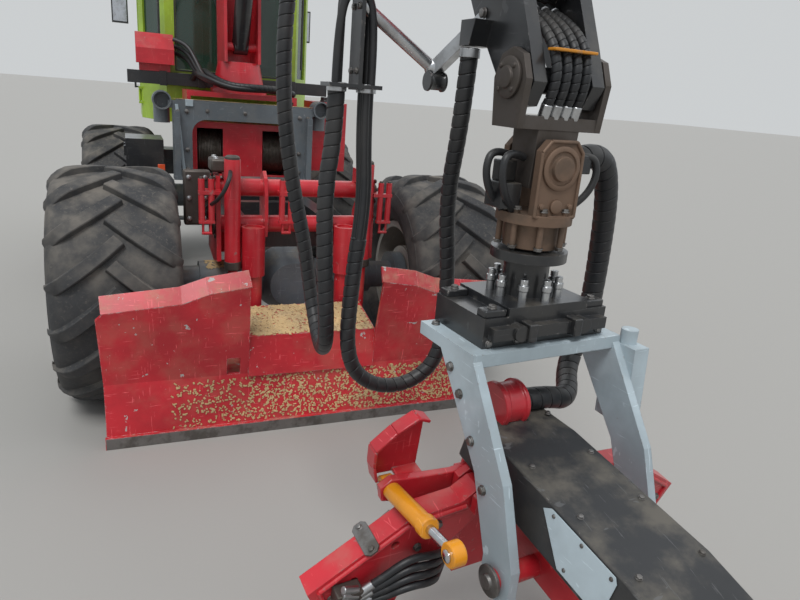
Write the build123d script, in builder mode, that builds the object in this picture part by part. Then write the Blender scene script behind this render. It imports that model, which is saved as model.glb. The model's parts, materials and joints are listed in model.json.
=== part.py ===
"""Forestry tractor: four equal wheels, cab, double-drum winch, rear log blade and a knuckle-boom crane with a
harvester head. Millimetres, +X to the right, +Y forwards, +Z up, ground at Z = 0."""
from math import atan2, cos, degrees, hypot, pi, radians, sin
import os

from build123d import *

os.makedirs("parts", exist_ok=True)

# Wheels and axles
tyre_radius = 670
tyre_width = 650
rim_radius = 336
bead_clearance = 0.3
track_width = 1970
wheelbase = 3100
rear_axle_y = -641.5
axle_tube_radius = 115
spindle_radius = 60
shaft_clearance = 0.3
hub_radius = 190
kingpin_x = 640
kingpin_radius = 38
steer_arm_length = 260

# Frame
rail_inner_x = 240
rail_outer_x = 340
rail_bottom_z = 820
rail_top_z = 1040

# Cab
cab_rear_y = 2350
cab_quarter_y = 2750
cab_front_y = 3550
cab_rear_half = 570
cab_side_half = 770
cab_front_half = 700
cab_floor_z = 1450
cab_sill_z = 1490
cab_roof_z = 2950
cab_wall = 50
door_gap = 6
door_hinge_out = 14
door_hinge_back = 12
hinge_barrel_radius = 11
hinge_pin = 6

# Crane, in its own upright plane: r is the reach from the slewing axis, z the height, w the side offset
column_y = 2000
rest_slew = 2.9
main_pivot = (-50, 3150)
knuckle = (2220, 4950)
tip = (4320, 1910)
boom_pin_radius = 45
pin_clearance = 0.3
side_clearance = 6

# Harvester head: its own plane starts at the rotator's axis and is turned a little from the crane's
link_pivot_z = 1680
head_pivot = (380, 600)
head_droop = 8
head_turn = 3
hanger_half = 280


def fore(distance):
    """The Y of a point that lies this far in front of the rear axle."""
    return rear_axle_y + distance


def outline(plane, points):
    """A closed straight-sided face."""
    with BuildSketch(plane) as face:
        with BuildLine():
            Polyline(*points, close=True)
        make_face()
    return face.sketch


def slab(plane, points, thickness, mode=Mode.ADD):
    """A flat plate whose middle lies on the plane."""
    extrude(outline(plane, points), amount=thickness / 2, both=True, mode=mode)


def block(x, y, z, mode=Mode.ADD):
    """A box between two values on each axis."""
    with Locations(((x[0] + x[1]) / 2, (y[0] + y[1]) / 2, (z[0] + z[1]) / 2)):
        Box(x[1] - x[0], y[1] - y[0], z[1] - z[0], mode=mode)


def rod(start, end, radius, mode=Mode.ADD):
    """A round bar from one point to another."""
    run = Vector(*end) - Vector(*start)
    with BuildSketch(Plane(origin=start, z_dir=run)) as face:
        Circle(radius)
    extrude(face.sketch, amount=run.length, mode=mode)


def save(piece, name):
    """Labels a finished piece and writes it under its own name."""
    piece.part.label = name
    export_step(piece.part, f"parts/{name}.step")


# The crane's upright plane: its x runs outwards along the reach, its y up, and its normal to the machine's left
reach_direction = (sin(radians(rest_slew)), -cos(radians(rest_slew)), 0)
left_direction = (-cos(radians(rest_slew)), -sin(radians(rest_slew)), 0)
crane = Plane(origin=(0, fore(column_y), 0), x_dir=reach_direction, z_dir=left_direction)


def crane_at(r, z, w=0):
    """A point of the crane, from its reach, height and side offset."""
    return crane.from_local_coords((r, z, w))


def crane_offset(w):
    """The crane's upright plane, moved sideways."""
    return Plane(origin=crane_at(0, 0, w), x_dir=reach_direction, z_dir=left_direction)


def crane_pin(centre, half_width, radius, mode=Mode.ADD):
    """A cross pin through the crane at a point of its upright plane."""
    rod(crane_at(*centre, -half_width), crane_at(*centre, half_width), radius, mode)


class Beam:
    """An axis in the crane's upright plane: s runs along it and t square to it."""

    def __init__(self, start, end):
        self.start = start
        self.length = hypot(end[0] - start[0], end[1] - start[1])
        self.along = ((end[0] - start[0]) / self.length, (end[1] - start[1]) / self.length)

    def at(self, s, t=0):
        """The reach and height of a point beside the axis."""
        return (
            self.start[0] + s * self.along[0] - t * self.along[1],
            self.start[1] + s * self.along[1] + t * self.along[0],
        )

    def path(self, *points):
        """Reach and height of several points beside the axis."""
        return [self.at(s, t) for s, t in points]


# Main frame with its front bumper, towing jaw and the arms that carry the hood's hinge
rail_back_y = -125
bumper_half = 520
tow_bore_y = 4675
tow_bore_radius = 20.5
hood_hinge_y = 4595
hood_hinge_z = 1355
hinge_pin_radius = 12
with BuildPart() as main_frame:
    for side in (-1, 1):
        block(
            sorted((side * rail_inner_x, side * rail_outer_x)),
            (fore(rail_back_y), fore(4450)),
            (rail_bottom_z, rail_top_z),
        )
    for start, end, low in (
        (rail_back_y, rail_back_y + 30, 900),
        (620, 700, rail_bottom_z),
        (1500, 1580, rail_bottom_z),
        (4400, 4450, rail_bottom_z),
    ):
        block((-rail_inner_x, rail_inner_x), (fore(start), fore(end)), (low, rail_top_z))
    for post_y in (2400, 3400):
        for side in (-1, 1):
            block(
                sorted((side * rail_inner_x, side * rail_outer_x)),
                (fore(post_y), fore(post_y + 100)),
                (rail_top_z, cab_floor_z),
            )
    block((-bumper_half, bumper_half), (fore(4450), fore(4710)), (700, 1000))
    for side in (-1, 1):
        slab(
            Plane.XY.offset(850),
            [(side * bumper_half, fore(4711)), (side * bumper_half, fore(4560)), (side * (bumper_half - 150), fore(4711))],
            302,
            Mode.SUBTRACT,
        )
    block((-90, 90), (fore(4640), fore(4711)), (800, 900), Mode.SUBTRACT)
    rod((0, fore(tow_bore_y), 699), (0, fore(tow_bore_y), 1001), tow_bore_radius, Mode.SUBTRACT)
    for side in (-1, 1):
        rod((side * 250, fore(4680), 850), (side * 250, fore(4711), 850), 66, Mode.SUBTRACT)
        rod((side * 250, fore(4670), 850), (side * 250, fore(4704), 850), 54)
    for side in (-1, 1):
        slab(
            Plane.YZ.offset(side * 320),
            [
                (fore(4360), rail_top_z),
                (fore(4450), rail_top_z),
                (fore(4540), 1290),
                (fore(hood_hinge_y + 10), hood_hinge_z - 12),
                (fore(hood_hinge_y + 10), hood_hinge_z + 10),
                (fore(4400), hood_hinge_z + 10),
            ],
            40,
        )
    rod((-376, fore(hood_hinge_y), hood_hinge_z), (376, fore(hood_hinge_y), hood_hinge_z), hinge_pin_radius)
save(main_frame, "main_frame")

# Engine, transfer box and shafts
shaft_z = tyre_radius + 20
axle_half_depth = 225
transfer_front = wheelbase - 400
transfer_rear = transfer_front - 650
with BuildPart() as driveline:
    block((-225, 225), (fore(3570), fore(4355)), (900, 1560))
    rod((0, fore(transfer_front - 10), 945), (0, fore(3580), 945), 34)
    block((-180, 180), (fore(transfer_rear), fore(transfer_front)), (600, 990))
    for side in (-1, 1):
        block(sorted((side * 180, side * rail_inner_x)), (fore(transfer_rear + 50), fore(transfer_front - 50)), (880, 940))
        block(sorted((side * 225, side * rail_inner_x)), (fore(3700), fore(3800)), (920, 1000))
    rod((0, fore(axle_half_depth), shaft_z), (0, fore(transfer_rear + 10), shaft_z), 45)
    rod((0, fore(transfer_front - 10), shaft_z), (0, fore(wheelbase - axle_half_depth), shaft_z), 45)
save(driveline, "driveline")


def axle_body(y, half_length):
    """Axle tube with its differential and the pads that carry the rails."""
    rod((-540, y, tyre_radius), (540, y, tyre_radius), axle_tube_radius)
    rod((-half_length, y, tyre_radius), (half_length, y, tyre_radius), 88)
    with BuildSketch(Plane.XZ.offset(-y - 225)) as bowl:
        with Locations((0, tyre_radius)):
            Circle(150)
    with BuildSketch(Plane.XZ.offset(-y)) as middle:
        with Locations((0, tyre_radius)):
            Circle(215)
    loft([bowl.sketch, middle.sketch])
    with BuildSketch(Plane.XZ.offset(-y + 190)) as cover:
        with Locations((0, tyre_radius)):
            Circle(140)
    loft([middle.sketch, cover.sketch])
    for side in (-1, 1):
        block(
            sorted((side * rail_inner_x, side * rail_outer_x)),
            (y - 110, y + 110),
            (tyre_radius, rail_bottom_z),
        )


hub_x = 790
disc_x = 1040
with BuildPart() as rear_axle:
    axle_body(fore(0), 780)
    for side in (-1, 1):
        rod((side * 700, fore(0), tyre_radius), (side * 780, fore(0), tyre_radius), 150)
        rod((side * 780, fore(0), tyre_radius), (side * 900, fore(0), tyre_radius), spindle_radius)
save(rear_axle, "rear_axle")

ear_inner = 100
ear_outer = 160
with BuildPart() as front_axle:
    axle_body(fore(wheelbase), kingpin_x)
    for side in (-1, 1):
        rod(
            (side * kingpin_x, fore(wheelbase), tyre_radius - ear_inner + side_clearance),
            (side * kingpin_x, fore(wheelbase), tyre_radius + ear_inner - side_clearance),
            66,
        )
        rod(
            (side * kingpin_x, fore(wheelbase), tyre_radius - ear_outer),
            (side * kingpin_x, fore(wheelbase), tyre_radius + ear_outer),
            kingpin_radius,
        )
save(front_axle, "front_axle")

for name, side in (("left", -1), ("right", 1)):
    with BuildPart() as knuckle_part:
        for low, high in ((-ear_outer, -ear_inner), (ear_inner, ear_outer)):
            rod(
                (side * kingpin_x, fore(wheelbase), tyre_radius + low),
                (side * kingpin_x, fore(wheelbase), tyre_radius + high),
                72,
            )
            block(
                sorted((side * kingpin_x, side * 760)),
                (fore(wheelbase) - 72, fore(wheelbase) + 72),
                (tyre_radius + low, tyre_radius + high),
            )
        block(
            sorted((side * 715, side * 762)),
            (fore(wheelbase) - 90, fore(wheelbase) + 90),
            (tyre_radius - ear_outer, tyre_radius + ear_outer),
        )
        block(
            sorted((side * (kingpin_x - 30), side * (kingpin_x + 30))),
            (fore(wheelbase) - steer_arm_length - 30, fore(wheelbase)),
            (tyre_radius - ear_outer, tyre_radius - ear_outer + 40),
        )
        rod(
            (side * kingpin_x, fore(wheelbase), tyre_radius - ear_outer - 1),
            (side * kingpin_x, fore(wheelbase), tyre_radius + ear_outer + 1),
            kingpin_radius + shaft_clearance,
            Mode.SUBTRACT,
        )
        rod((side * 760, fore(wheelbase), tyre_radius), (side * 780, fore(wheelbase), tyre_radius), 150)
        rod((side * 780, fore(wheelbase), tyre_radius), (side * 900, fore(wheelbase), tyre_radius), spindle_radius)
    save(knuckle_part, f"knuckle_{name}")

tie_rod_y = fore(wheelbase) - steer_arm_length
tie_rod_z = tyre_radius - ear_outer - 30.5
with BuildPart() as tie_rod:
    rod((-kingpin_x + 20, tie_rod_y, tie_rod_z), (kingpin_x - 20, tie_rod_y, tie_rod_z), 22)
    for side in (-1, 1):
        rod(
            (side * kingpin_x, tie_rod_y, tie_rod_z - 30),
            (side * kingpin_x, tie_rod_y, tie_rod_z + 30),
            34,
        )
save(tie_rod, "tie_rod")

# Wheels, each about its own axis
half_width = tyre_width / 2
bead_half = 230
lip_height = 24
lip_width = 12
# A flat-sided carcass, as half width and radius of each ring of corners, with a bar tread of straight lugs
tyre_sides = 16
carcass_rings = [
    (bead_half, (rim_radius + lip_height + 1) / cos(pi / tyre_sides)),
    (bead_half + lip_width + 2, (rim_radius + lip_height + 1) / cos(pi / tyre_sides)),
    (half_width, 500),
    (half_width - 22, tyre_radius - 46),
]
lug_count = 16
lug_half = 31
lug_lean = radians(38)
# The lug's side view, as distance out from the tyre's middle and radius
lug_profile = [(-20, 600), (-20, tyre_radius), (215, tyre_radius), (308, tyre_radius - 64), (308, 560)]
with BuildPart() as tyre_body:
    rings = [(-x, r) for x, r in carcass_rings] + [(x, r) for x, r in reversed(carcass_rings)]
    sections = []
    for x, r in rings:
        with BuildSketch(Plane(origin=(x, 0, 0), x_dir=(0, 1, 0), z_dir=(1, 0, 0))) as ring:
            RegularPolygon(r, tyre_sides)
        sections.append(ring.sketch)
    loft(sections, ruled=True)
    lugs = []
    for number in range(2 * lug_count):
        turn = radians(180 * number / lug_count)
        radial = Vector(0, cos(turn), sin(turn))
        out = Vector((-1) ** number * cos(lug_lean), -sin(turn) * sin(lug_lean), cos(turn) * sin(lug_lean))
        points = []
        for x, r in lug_profile:
            run = x / cos(lug_lean)
            corner = abs(run * sin(lug_lean)) + lug_half * cos(lug_lean)
            points.append((run, (r * r - corner * corner) ** 0.5))
        side_view = outline(Plane(origin=(0, 0, 0), x_dir=out, z_dir=out.cross(radial)), points)
        lugs.append(extrude(side_view, amount=lug_half, both=True, mode=Mode.PRIVATE))
    add(lugs)
    with BuildSketch(Plane(origin=(-bead_half, 0, 0), x_dir=(0, 1, 0), z_dir=(1, 0, 0))) as bore:
        RegularPolygon((rim_radius + bead_clearance) / cos(pi / tyre_sides), tyre_sides)
    extrude(bore.sketch, amount=2 * bead_half, mode=Mode.SUBTRACT)
rim_wall = 16
for name, side, axle in (
    ("rear_left", -1, 0),
    ("rear_right", 1, 0),
    ("front_left", -1, wheelbase),
    ("front_right", 1, wheelbase),
):
    centre = (side * track_width / 2, fore(axle), tyre_radius)
    # x runs outwards from the machine along the wheel's axis, y is the radius
    wheel_plane = Plane(origin=centre, x_dir=(side, 0, 0), z_dir=(0, -side, 0))
    wheel_axis = Axis(centre, (1, 0, 0))
    with BuildPart() as tyre:
        add(tyre_body.part.moved(Location(centre)))
    save(tyre, f"tyre_{name}")

    disc = disc_x - track_width / 2
    hub = hub_x - track_width / 2
    lip = bead_half + lip_width
    rim_profile = [
        (-lip, rim_radius + lip_height),
        (-lip, rim_radius - rim_wall),
        (disc, rim_radius - rim_wall),
        (disc, hub_radius),
        (hub, hub_radius),
        (hub, spindle_radius + shaft_clearance),
        (hub + 130, spindle_radius + shaft_clearance),
        (hub + 130, 0),
        (disc + 120, 0),
        (disc + 120, 110),
        (disc + 70, 160),
        (disc + 18, 180),
        (disc + 18, rim_radius - rim_wall),
        (lip, rim_radius - rim_wall),
        (lip, rim_radius + lip_height),
        (bead_half + 1, rim_radius + lip_height),
        (bead_half + 1, rim_radius),
        (-bead_half - 1, rim_radius),
        (-bead_half - 1, rim_radius + lip_height),
    ]
    with BuildPart() as rim:
        revolve(outline(wheel_plane, rim_profile), axis=wheel_axis)
    save(rim, f"rim_{name}")

# Cab: one ring of walls, cut into panels, with the windows cut through
cab_plan = [
    (-cab_rear_half, fore(cab_rear_y)),
    (-cab_side_half, fore(cab_quarter_y)),
    (-cab_side_half, fore(cab_front_y - 150)),
    (-cab_front_half, fore(cab_front_y)),
    (cab_front_half, fore(cab_front_y)),
    (cab_side_half, fore(cab_front_y - 150)),
    (cab_side_half, fore(cab_quarter_y)),
    (cab_rear_half, fore(cab_rear_y)),
]
door_front_y = cab_front_y - 155


def cab_walls(inner, outer, low, high):
    """The ring of the cab's walls between two depths from its outside face."""
    with BuildSketch(Plane.XY.offset(low)) as ring:
        with BuildLine():
            Polyline(*cab_plan, close=True)
        make_face()
        if outer:
            offset(amount=-outer, kind=Kind.INTERSECTION)
    with BuildSketch(Plane.XY.offset(low)) as hole:
        with BuildLine():
            Polyline(*cab_plan, close=True)
        make_face()
        offset(amount=-inner, kind=Kind.INTERSECTION)
    extrude(ring.sketch, amount=high - low)
    extrude(hole.sketch, amount=high - low, mode=Mode.SUBTRACT)


def keep(x, y):
    """Keeps what lies between these values."""
    block(x, y, (0, 6000), Mode.INTERSECT)


window_margin = 75
glass_inset = 20
glass_thickness = 6
quarter_run = hypot(cab_side_half - cab_rear_half, cab_quarter_y - cab_rear_y)
# Window holes: a plane whose x runs along the wall, the hole's half length and its low and high edge
windows = {
    "rear": (Plane(origin=(0, fore(cab_rear_y), 0), x_dir=(1, 0, 0), z_dir=(0, -1, 0)), cab_rear_half - 90, 1900, 2880),
    "front": (
        Plane(origin=(0, fore(cab_front_y), 0), x_dir=(1, 0, 0), z_dir=(0, -1, 0)),
        cab_front_half - 80,
        2000,
        2880,
    ),
}
for name, side in (("left", -1), ("right", 1)):
    quarter_middle = (
        side * (cab_rear_half + cab_side_half) / 2,
        fore((cab_rear_y + cab_quarter_y) / 2),
        0,
    )
    quarter_along = (side * (cab_side_half - cab_rear_half), cab_quarter_y - cab_rear_y, 0)
    quarter_out = (side * (cab_quarter_y - cab_rear_y), -(cab_side_half - cab_rear_half), 0)
    windows[f"quarter_{name}"] = (
        Plane(origin=quarter_middle, x_dir=quarter_along, z_dir=quarter_out),
        quarter_run / 2 - window_margin,
        1900,
        2880,
    )
    windows[f"side_{name}"] = (
        Plane(
            origin=(side * cab_side_half, fore((cab_quarter_y + door_front_y) / 2), 0),
            x_dir=(0, 1, 0),
            z_dir=(side, 0, 0),
        ),
        (door_front_y - cab_quarter_y) / 2 - window_margin,
        1650,
        2880,
    )


def cut_window(name):
    """Cuts one window through the wall it belongs to."""
    plane, half, low, high = windows[name]
    up = plane.to_local_coords(plane.origin + Vector(0, 0, 1)).Y
    slab(plane, [(-half, up * low), (half, up * low), (half, up * high), (-half, up * high)], 4 * cab_wall, Mode.SUBTRACT)


def pane(name):
    """One window's glass, set back from the wall's outside and clear of its frame all round."""
    plane, half, low, high = windows[name]
    up = plane.to_local_coords(plane.origin + Vector(0, 0, 1)).Y
    out = 1 if name != "front" else -1
    back = Plane(origin=plane.origin - plane.z_dir * (out * glass_inset), x_dir=plane.x_dir, z_dir=plane.z_dir)
    edge = bead_clearance
    slab(
        back,
        [
            (-half + edge, up * (low + edge)),
            (half - edge, up * (low + edge)),
            (half - edge, up * (high - edge)),
            (-half + edge, up * (high - edge)),
        ],
        glass_thickness,
    )


wide = 2000
door_hinge_x = -cab_side_half - door_hinge_out
door_hinge_y = fore(cab_quarter_y + door_hinge_back)
hinge_length = 100
hinge_heights = (1600, 2740)
with BuildPart() as cab_shell:
    cab_walls(cab_wall, 0, cab_sill_z, cab_roof_z)
    block((-wide, -cab_rear_half), (fore(cab_quarter_y), fore(cab_front_y - 150)), (cab_sill_z, cab_roof_z), Mode.SUBTRACT)
    for name in ("rear", "quarter_left", "quarter_right", "front", "side_right"):
        cut_window(name)
    with BuildSketch(Plane.XY.offset(cab_floor_z)) as floor_plan:
        with BuildLine():
            Polyline(*cab_plan, close=True)
        make_face()
    extrude(floor_plan.sketch, amount=cab_sill_z - cab_floor_z)
    # Door hinges: a pin between two ears on the rear post
    for low in hinge_heights:
        for ear_low in (low - 25, low + hinge_length + 7):
            block(
                (door_hinge_x - 11, door_hinge_x + 6),
                (door_hinge_y - 34, door_hinge_y + 8),
                (ear_low, ear_low + 18),
            )
            block(
                (door_hinge_x - 11, -cab_side_half + 20),
                (door_hinge_y - 34, door_hinge_y - 14),
                (ear_low, ear_low + 18),
            )
        rod(
            (door_hinge_x, door_hinge_y, low - 8),
            (door_hinge_x, door_hinge_y, low + hinge_length + 8),
            hinge_pin,
        )
save(cab_shell, "cab_shell")

door_top_z = cab_roof_z - door_gap
with BuildPart() as door:
    cab_walls(cab_wall, 0, cab_sill_z + door_gap, door_top_z)
    keep((-wide, 0), (fore(cab_quarter_y + door_gap), fore(cab_front_y - 150 - door_gap)))
    cut_window("side_left")
    for low in hinge_heights:
        rod((door_hinge_x, door_hinge_y, low), (door_hinge_x, door_hinge_y, low + hinge_length), hinge_barrel_radius)
        block(
            (door_hinge_x + 2, -cab_side_half + 5),
            (door_hinge_y - 4, door_hinge_y + 28),
            (low, low + hinge_length),
        )
        rod(
            (door_hinge_x, door_hinge_y, low - 1),
            (door_hinge_x, door_hinge_y, low + hinge_length + 1),
            hinge_pin + pin_clearance,
            Mode.SUBTRACT,
        )
save(door, "door")

with BuildPart() as door_glass:
    pane("side_left")
save(door_glass, "door_glass")

with BuildPart() as cab_glass:
    for name in ("rear", "quarter_left", "quarter_right", "front", "side_right"):
        pane(name)
save(cab_glass, "cab_glass")

roof_overhang = 40
with BuildPart() as cab_roof:
    with BuildSketch(Plane.XY.offset(cab_roof_z)) as roof_plan:
        with BuildLine():
            Polyline(*cab_plan, close=True)
        make_face()
        offset(amount=roof_overhang, kind=Kind.INTERSECTION)
    extrude(roof_plan.sketch, amount=110, taper=12)
    for side in (-1, 1):
        for y, step in ((cab_rear_y - 20, 1), (cab_front_y + 20, -1)):
            rod((side * 430, fore(y), 3005), (side * 430, fore(y + step * 60), 3005), 48)
save(cab_roof, "cab_roof")

with BuildPart() as cab_interior:
    block((-90, 90), (fore(2740), fore(2940)), (cab_sill_z, 1780))
    block((-250, 250), (fore(2620), fore(3080)), (1780, 1880))
    slab(
        Plane.YZ,
        [(fore(2630), 1875), (fore(2720), 1875), (fore(2650), 2480), (fore(2570), 2480)],
        460,
    )
    slab(
        Plane.YZ,
        [(fore(3290), cab_sill_z), (fore(3390), cab_sill_z), (fore(3290), 2040), (fore(3240), 2040)],
        80,
    )
    wheel_tilt = Plane(origin=(0, fore(3255), 2060), z_dir=(0, -0.35, 1))
    with BuildSketch(wheel_tilt) as steering_wheel:
        Circle(190)
        Circle(160, mode=Mode.SUBTRACT)
        Rectangle(330, 26)
        Circle(45)
    extrude(steering_wheel.sketch, amount=14, both=True)
save(cab_interior, "cab_interior")

# Hood over the engine, hinged along its front edge
hood_back_y = 3570
hood_front_y = 4640
hood_half = 400
hood_bottom_z = 1370
hood_wall = 25
hood_profile = [
    (fore(hood_back_y), hood_bottom_z),
    (fore(hood_front_y), hood_bottom_z),
    (fore(hood_front_y), 1640),
    (fore(hood_front_y - 120), 1770),
    (fore(hood_back_y), 1940),
]
hood_inside = [
    (fore(hood_back_y - 1), hood_bottom_z - 1),
    (fore(hood_front_y - hood_wall), hood_bottom_z - 1),
    (fore(hood_front_y - hood_wall), 1628),
    (fore(hood_front_y - 132), 1745),
    (fore(hood_back_y - 1), 1914),
]
with BuildPart() as hood:
    slab(Plane.YZ, hood_profile, 2 * hood_half)
    slab(Plane.YZ, hood_inside, 2 * (hood_half - hood_wall), Mode.SUBTRACT)
    for side in (-1, 1):
        slab(
            Plane.YZ.offset(side * 362),
            [
                (fore(hood_hinge_y - 22), hood_hinge_z - 16),
                (fore(hood_hinge_y + 15), hood_hinge_z - 16),
                (fore(hood_hinge_y + 15), hood_bottom_z + 60),
                (fore(hood_hinge_y - 22), hood_bottom_z + 60),
            ],
            30,
        )
    for z in range(1420, 1620, 40):
        block((-300, 300), (fore(hood_front_y - hood_wall - 2), fore(hood_front_y + 1)), (z, z + 16), Mode.SUBTRACT)
    rod(
        (-380, fore(hood_hinge_y), hood_hinge_z),
        (380, fore(hood_hinge_y), hood_hinge_z),
        hinge_pin_radius + shaft_clearance,
        Mode.SUBTRACT,
    )
save(hood, "hood")

# Boxes behind the cab
with BuildPart() as oil_tank:
    block((620, 930), (fore(1840), fore(2180)), (1120, 1720))
    block((450, 620), (fore(1900), fore(2100)), (1180, 1260))
save(oil_tank, "oil_tank")

with BuildPart() as battery_box:
    block((-925, -640), (fore(1700), fore(2150)), (1090, 1345))
    block((-640, -450), (fore(1800), fore(2050)), (1180, 1260))
    for x in (-925, -700):
        block((x, x + 20), (fore(1880), fore(2150)), (430, 1090))
    for z in (430, 760):
        block((-906, -699), (fore(1880), fore(2150)), (z, z + 30))
save(battery_box, "battery_box")

with BuildPart() as valve_bar:
    block((-850, 850), (fore(2250), fore(2320)), (1765, 1865))
    rod((-850, fore(2285), 1765), (-850, fore(2285), 1865), 35)
    for side in (-1, 1):
        block(sorted((side * 380, side * 450)), (fore(2320), fore(cab_rear_y)), (1780, 1850))
    slab(
        Plane.YZ.offset(-663),
        [
            (fore(2120), 1925),
            (fore(2320), 1925),
            (fore(2320), 2170),
            (fore(2250), 2170),
            (fore(2120), 2045),
        ],
        300,
    )
    block((-790, -540), (fore(2250), fore(2320)), (1865, 1925))
save(valve_bar, "valve_bar")

# Winch
winch_rear_y = 1770
winch_front_y = 2200
drum_z = 1262
drum_y = 1985
drum_inner = 156
drum_outer = 384
drum_flange_radius = 192
with BuildPart() as winch_housing:
    block((-420, 420), (fore(winch_rear_y), fore(winch_front_y)), (rail_top_z, 1500))
    for side in (-1, 1):
        block(
            sorted((side * (drum_inner - side_clearance), side * 390)),
            (fore(winch_rear_y + 12), fore(winch_front_y - 15)),
            (1060, 1475),
            Mode.SUBTRACT,
        )
        block(
            sorted((side * 165, side * 375)),
            (fore(winch_rear_y - 1), fore(winch_rear_y + 13)),
            (1075, 1450),
            Mode.SUBTRACT,
        )
    rod((-395, fore(drum_y), drum_z), (395, fore(drum_y), drum_z), 50)
save(winch_housing, "winch_housing")

for name, side in (("left", -1), ("right", 1)):
    with BuildPart() as drum:
        rod((side * drum_inner, fore(drum_y), drum_z), (side * drum_outer, fore(drum_y), drum_z), 165)
        for x in (drum_inner, drum_outer - 12):
            rod((side * x, fore(drum_y), drum_z), (side * (x + 12), fore(drum_y), drum_z), drum_flange_radius)
        rod(
            (side * (drum_inner - 1), fore(drum_y), drum_z),
            (side * (drum_outer + 1), fore(drum_y), drum_z),
            50 + shaft_clearance,
            Mode.SUBTRACT,
        )
    save(drum, f"drum_{name}")

portal_y = 1680
portal_half = 570
portal_inner = 420
portal_top_z = 1670
with BuildPart() as winch_frame:
    with BuildSketch(Plane.XZ.offset(-fore(portal_y + 20))) as portal:
        with BuildLine():
            Polyline(
                (-portal_half, rail_top_z),
                (-portal_half, portal_top_z - 35),
                (-portal_half + 35, portal_top_z),
                (portal_half - 35, portal_top_z),
                (portal_half, portal_top_z - 35),
                (portal_half, rail_top_z),
                close=True,
            )
        make_face()
        with Locations((0, 1293)):
            RectangleRounded(2 * portal_inner, 456, 115, mode=Mode.SUBTRACT)
        with Locations((0, (rail_top_z + 25 + 1380) / 2)):
            Rectangle(2 * portal_inner, 1380 - rail_top_z - 25, mode=Mode.SUBTRACT)
    extrude(portal.sketch, amount=40)
    block((-portal_half, portal_half), (fore(1600), fore(1738)), (rail_top_z, rail_top_z + 25))
    for side in (-1, 1):
        block(sorted((side * 515, side * 560)), (fore(1600), fore(1665)), (rail_top_z + 20, 1580))
    for side in (-1, 1):
        rod((side * 645, fore(1640), 1655), (side * 645, fore(1800), 1655), 72)
        rod((side * 645, fore(1760), 1480), (side * 645, fore(1760), 1655), 62)
        rod((side * 645, fore(1639), 1655), (side * 645, fore(1720), 1655), 60, Mode.SUBTRACT)
        block(sorted((side * 550, side * 600)), (fore(1662), fore(1698)), (1600, 1660))
save(winch_frame, "winch_frame")

# Crane base
base_plate_z = 1740
slew_ring_z = 1775
spigot_radius = 80
with BuildPart() as crane_base:
    for side in (-1, 1):
        block(sorted((side * 420, side * 450)), (fore(1740), fore(2240)), (rail_top_z, 1700))
    block((-450, 450), (fore(1740), fore(2240)), (1700, base_plate_z))
    rod((0, fore(column_y), base_plate_z), (0, fore(column_y), slew_ring_z), 235)
    rod((0, fore(column_y), slew_ring_z), (0, fore(column_y), slew_ring_z + 80), spigot_radius)
save(crane_base, "crane_base")

# Tower at the rear that carries the blade's cylinders and guides
tower_half = 440
tube_y = -200
tube_radius = 50
guide_x = 270
guide_y = -335
guide_radius = 50
cylinder_x = 385
cylinder_bore = 26
blade_rod_radius = 25.7
tower_profile = [
    (fore(-290), 860),
    (fore(-130), 830),
    (fore(130), 860),
    (fore(60), 1100),
    (fore(-120), 1340),
    (fore(-260), 1340),
]
cheek_profile = [
    (fore(-285), 1000),
    (fore(-300), 1090),
    (fore(-292), 1240),
    (fore(-262), 1330),
    (fore(-215), 1368),
    (fore(-150), 1340),
    (fore(-128), 1240),
    (fore(-135), 1050),
    (fore(-170), 990),
]
with BuildPart() as rear_tower:
    for side in (-1, 1):
        slab(Plane.YZ.offset(side * (tower_half + 13)), tower_profile, 26)
        block(sorted((side * rail_outer_x, side * tower_half)), (fore(-110), fore(100)), (870, 1000))
    for z in (1060, 1270):
        rod((-tower_half, fore(tube_y), z), (tower_half, fore(tube_y), z), tube_radius)
    for x in (-190, 190):
        slab(Plane.YZ.offset(x), cheek_profile, 20)
    for side in (-1, 1):
        rod((side * guide_x, fore(guide_y), 790), (side * guide_x, fore(guide_y), 1070), guide_radius + 16)
        block((side * guide_x - 30, side * guide_x + 30), (fore(guide_y), fore(tube_y)), (1015, 1070))
        rod((side * cylinder_x, fore(guide_y), 830), (side * cylinder_x, fore(guide_y), 1440), 44)
        block((side * cylinder_x - 35, side * cylinder_x + 35), (fore(guide_y), fore(tube_y) + 20), (1320, 1400))
        block((side * cylinder_x - 35, side * cylinder_x + 35), (fore(tube_y) - 10, fore(tube_y) + 20), (1270, 1400))
        rod(
            (side * guide_x, fore(guide_y), 789),
            (side * guide_x, fore(guide_y), 1071),
            guide_radius + shaft_clearance,
            Mode.SUBTRACT,
        )
        rod(
            (side * cylinder_x, fore(guide_y), 829),
            (side * cylinder_x, fore(guide_y), 1420),
            cylinder_bore,
            Mode.SUBTRACT,
        )
    # Rope rollers in pairs, each hung on its cross bar
    for x in (-520, -80, 515):
        for step in (-26, 26):
            rod((x + step, fore(-315), 1100), (x + step, fore(-315), 1330), 17)
        block((x - 43, x + 43), (fore(-332), fore(-240 if x == -80 else -298)), (1245, 1265))
        block((x - 43, x + 43), (fore(-332), fore(-298)), (1086, 1102))
        for step in (-20, 20):
            rod((x + step, fore(-315), 1030), (x + step, fore(-315), 1090), 7)
        rod((x - 27, fore(-315), 1030), (x + 27, fore(-315), 1030), 9)
        if x != -80:
            block(sorted((x, 440 if x > 0 else -440)), (fore(-330), fore(-230)), (1245, 1265))
save(rear_tower, "rear_tower")

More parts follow.
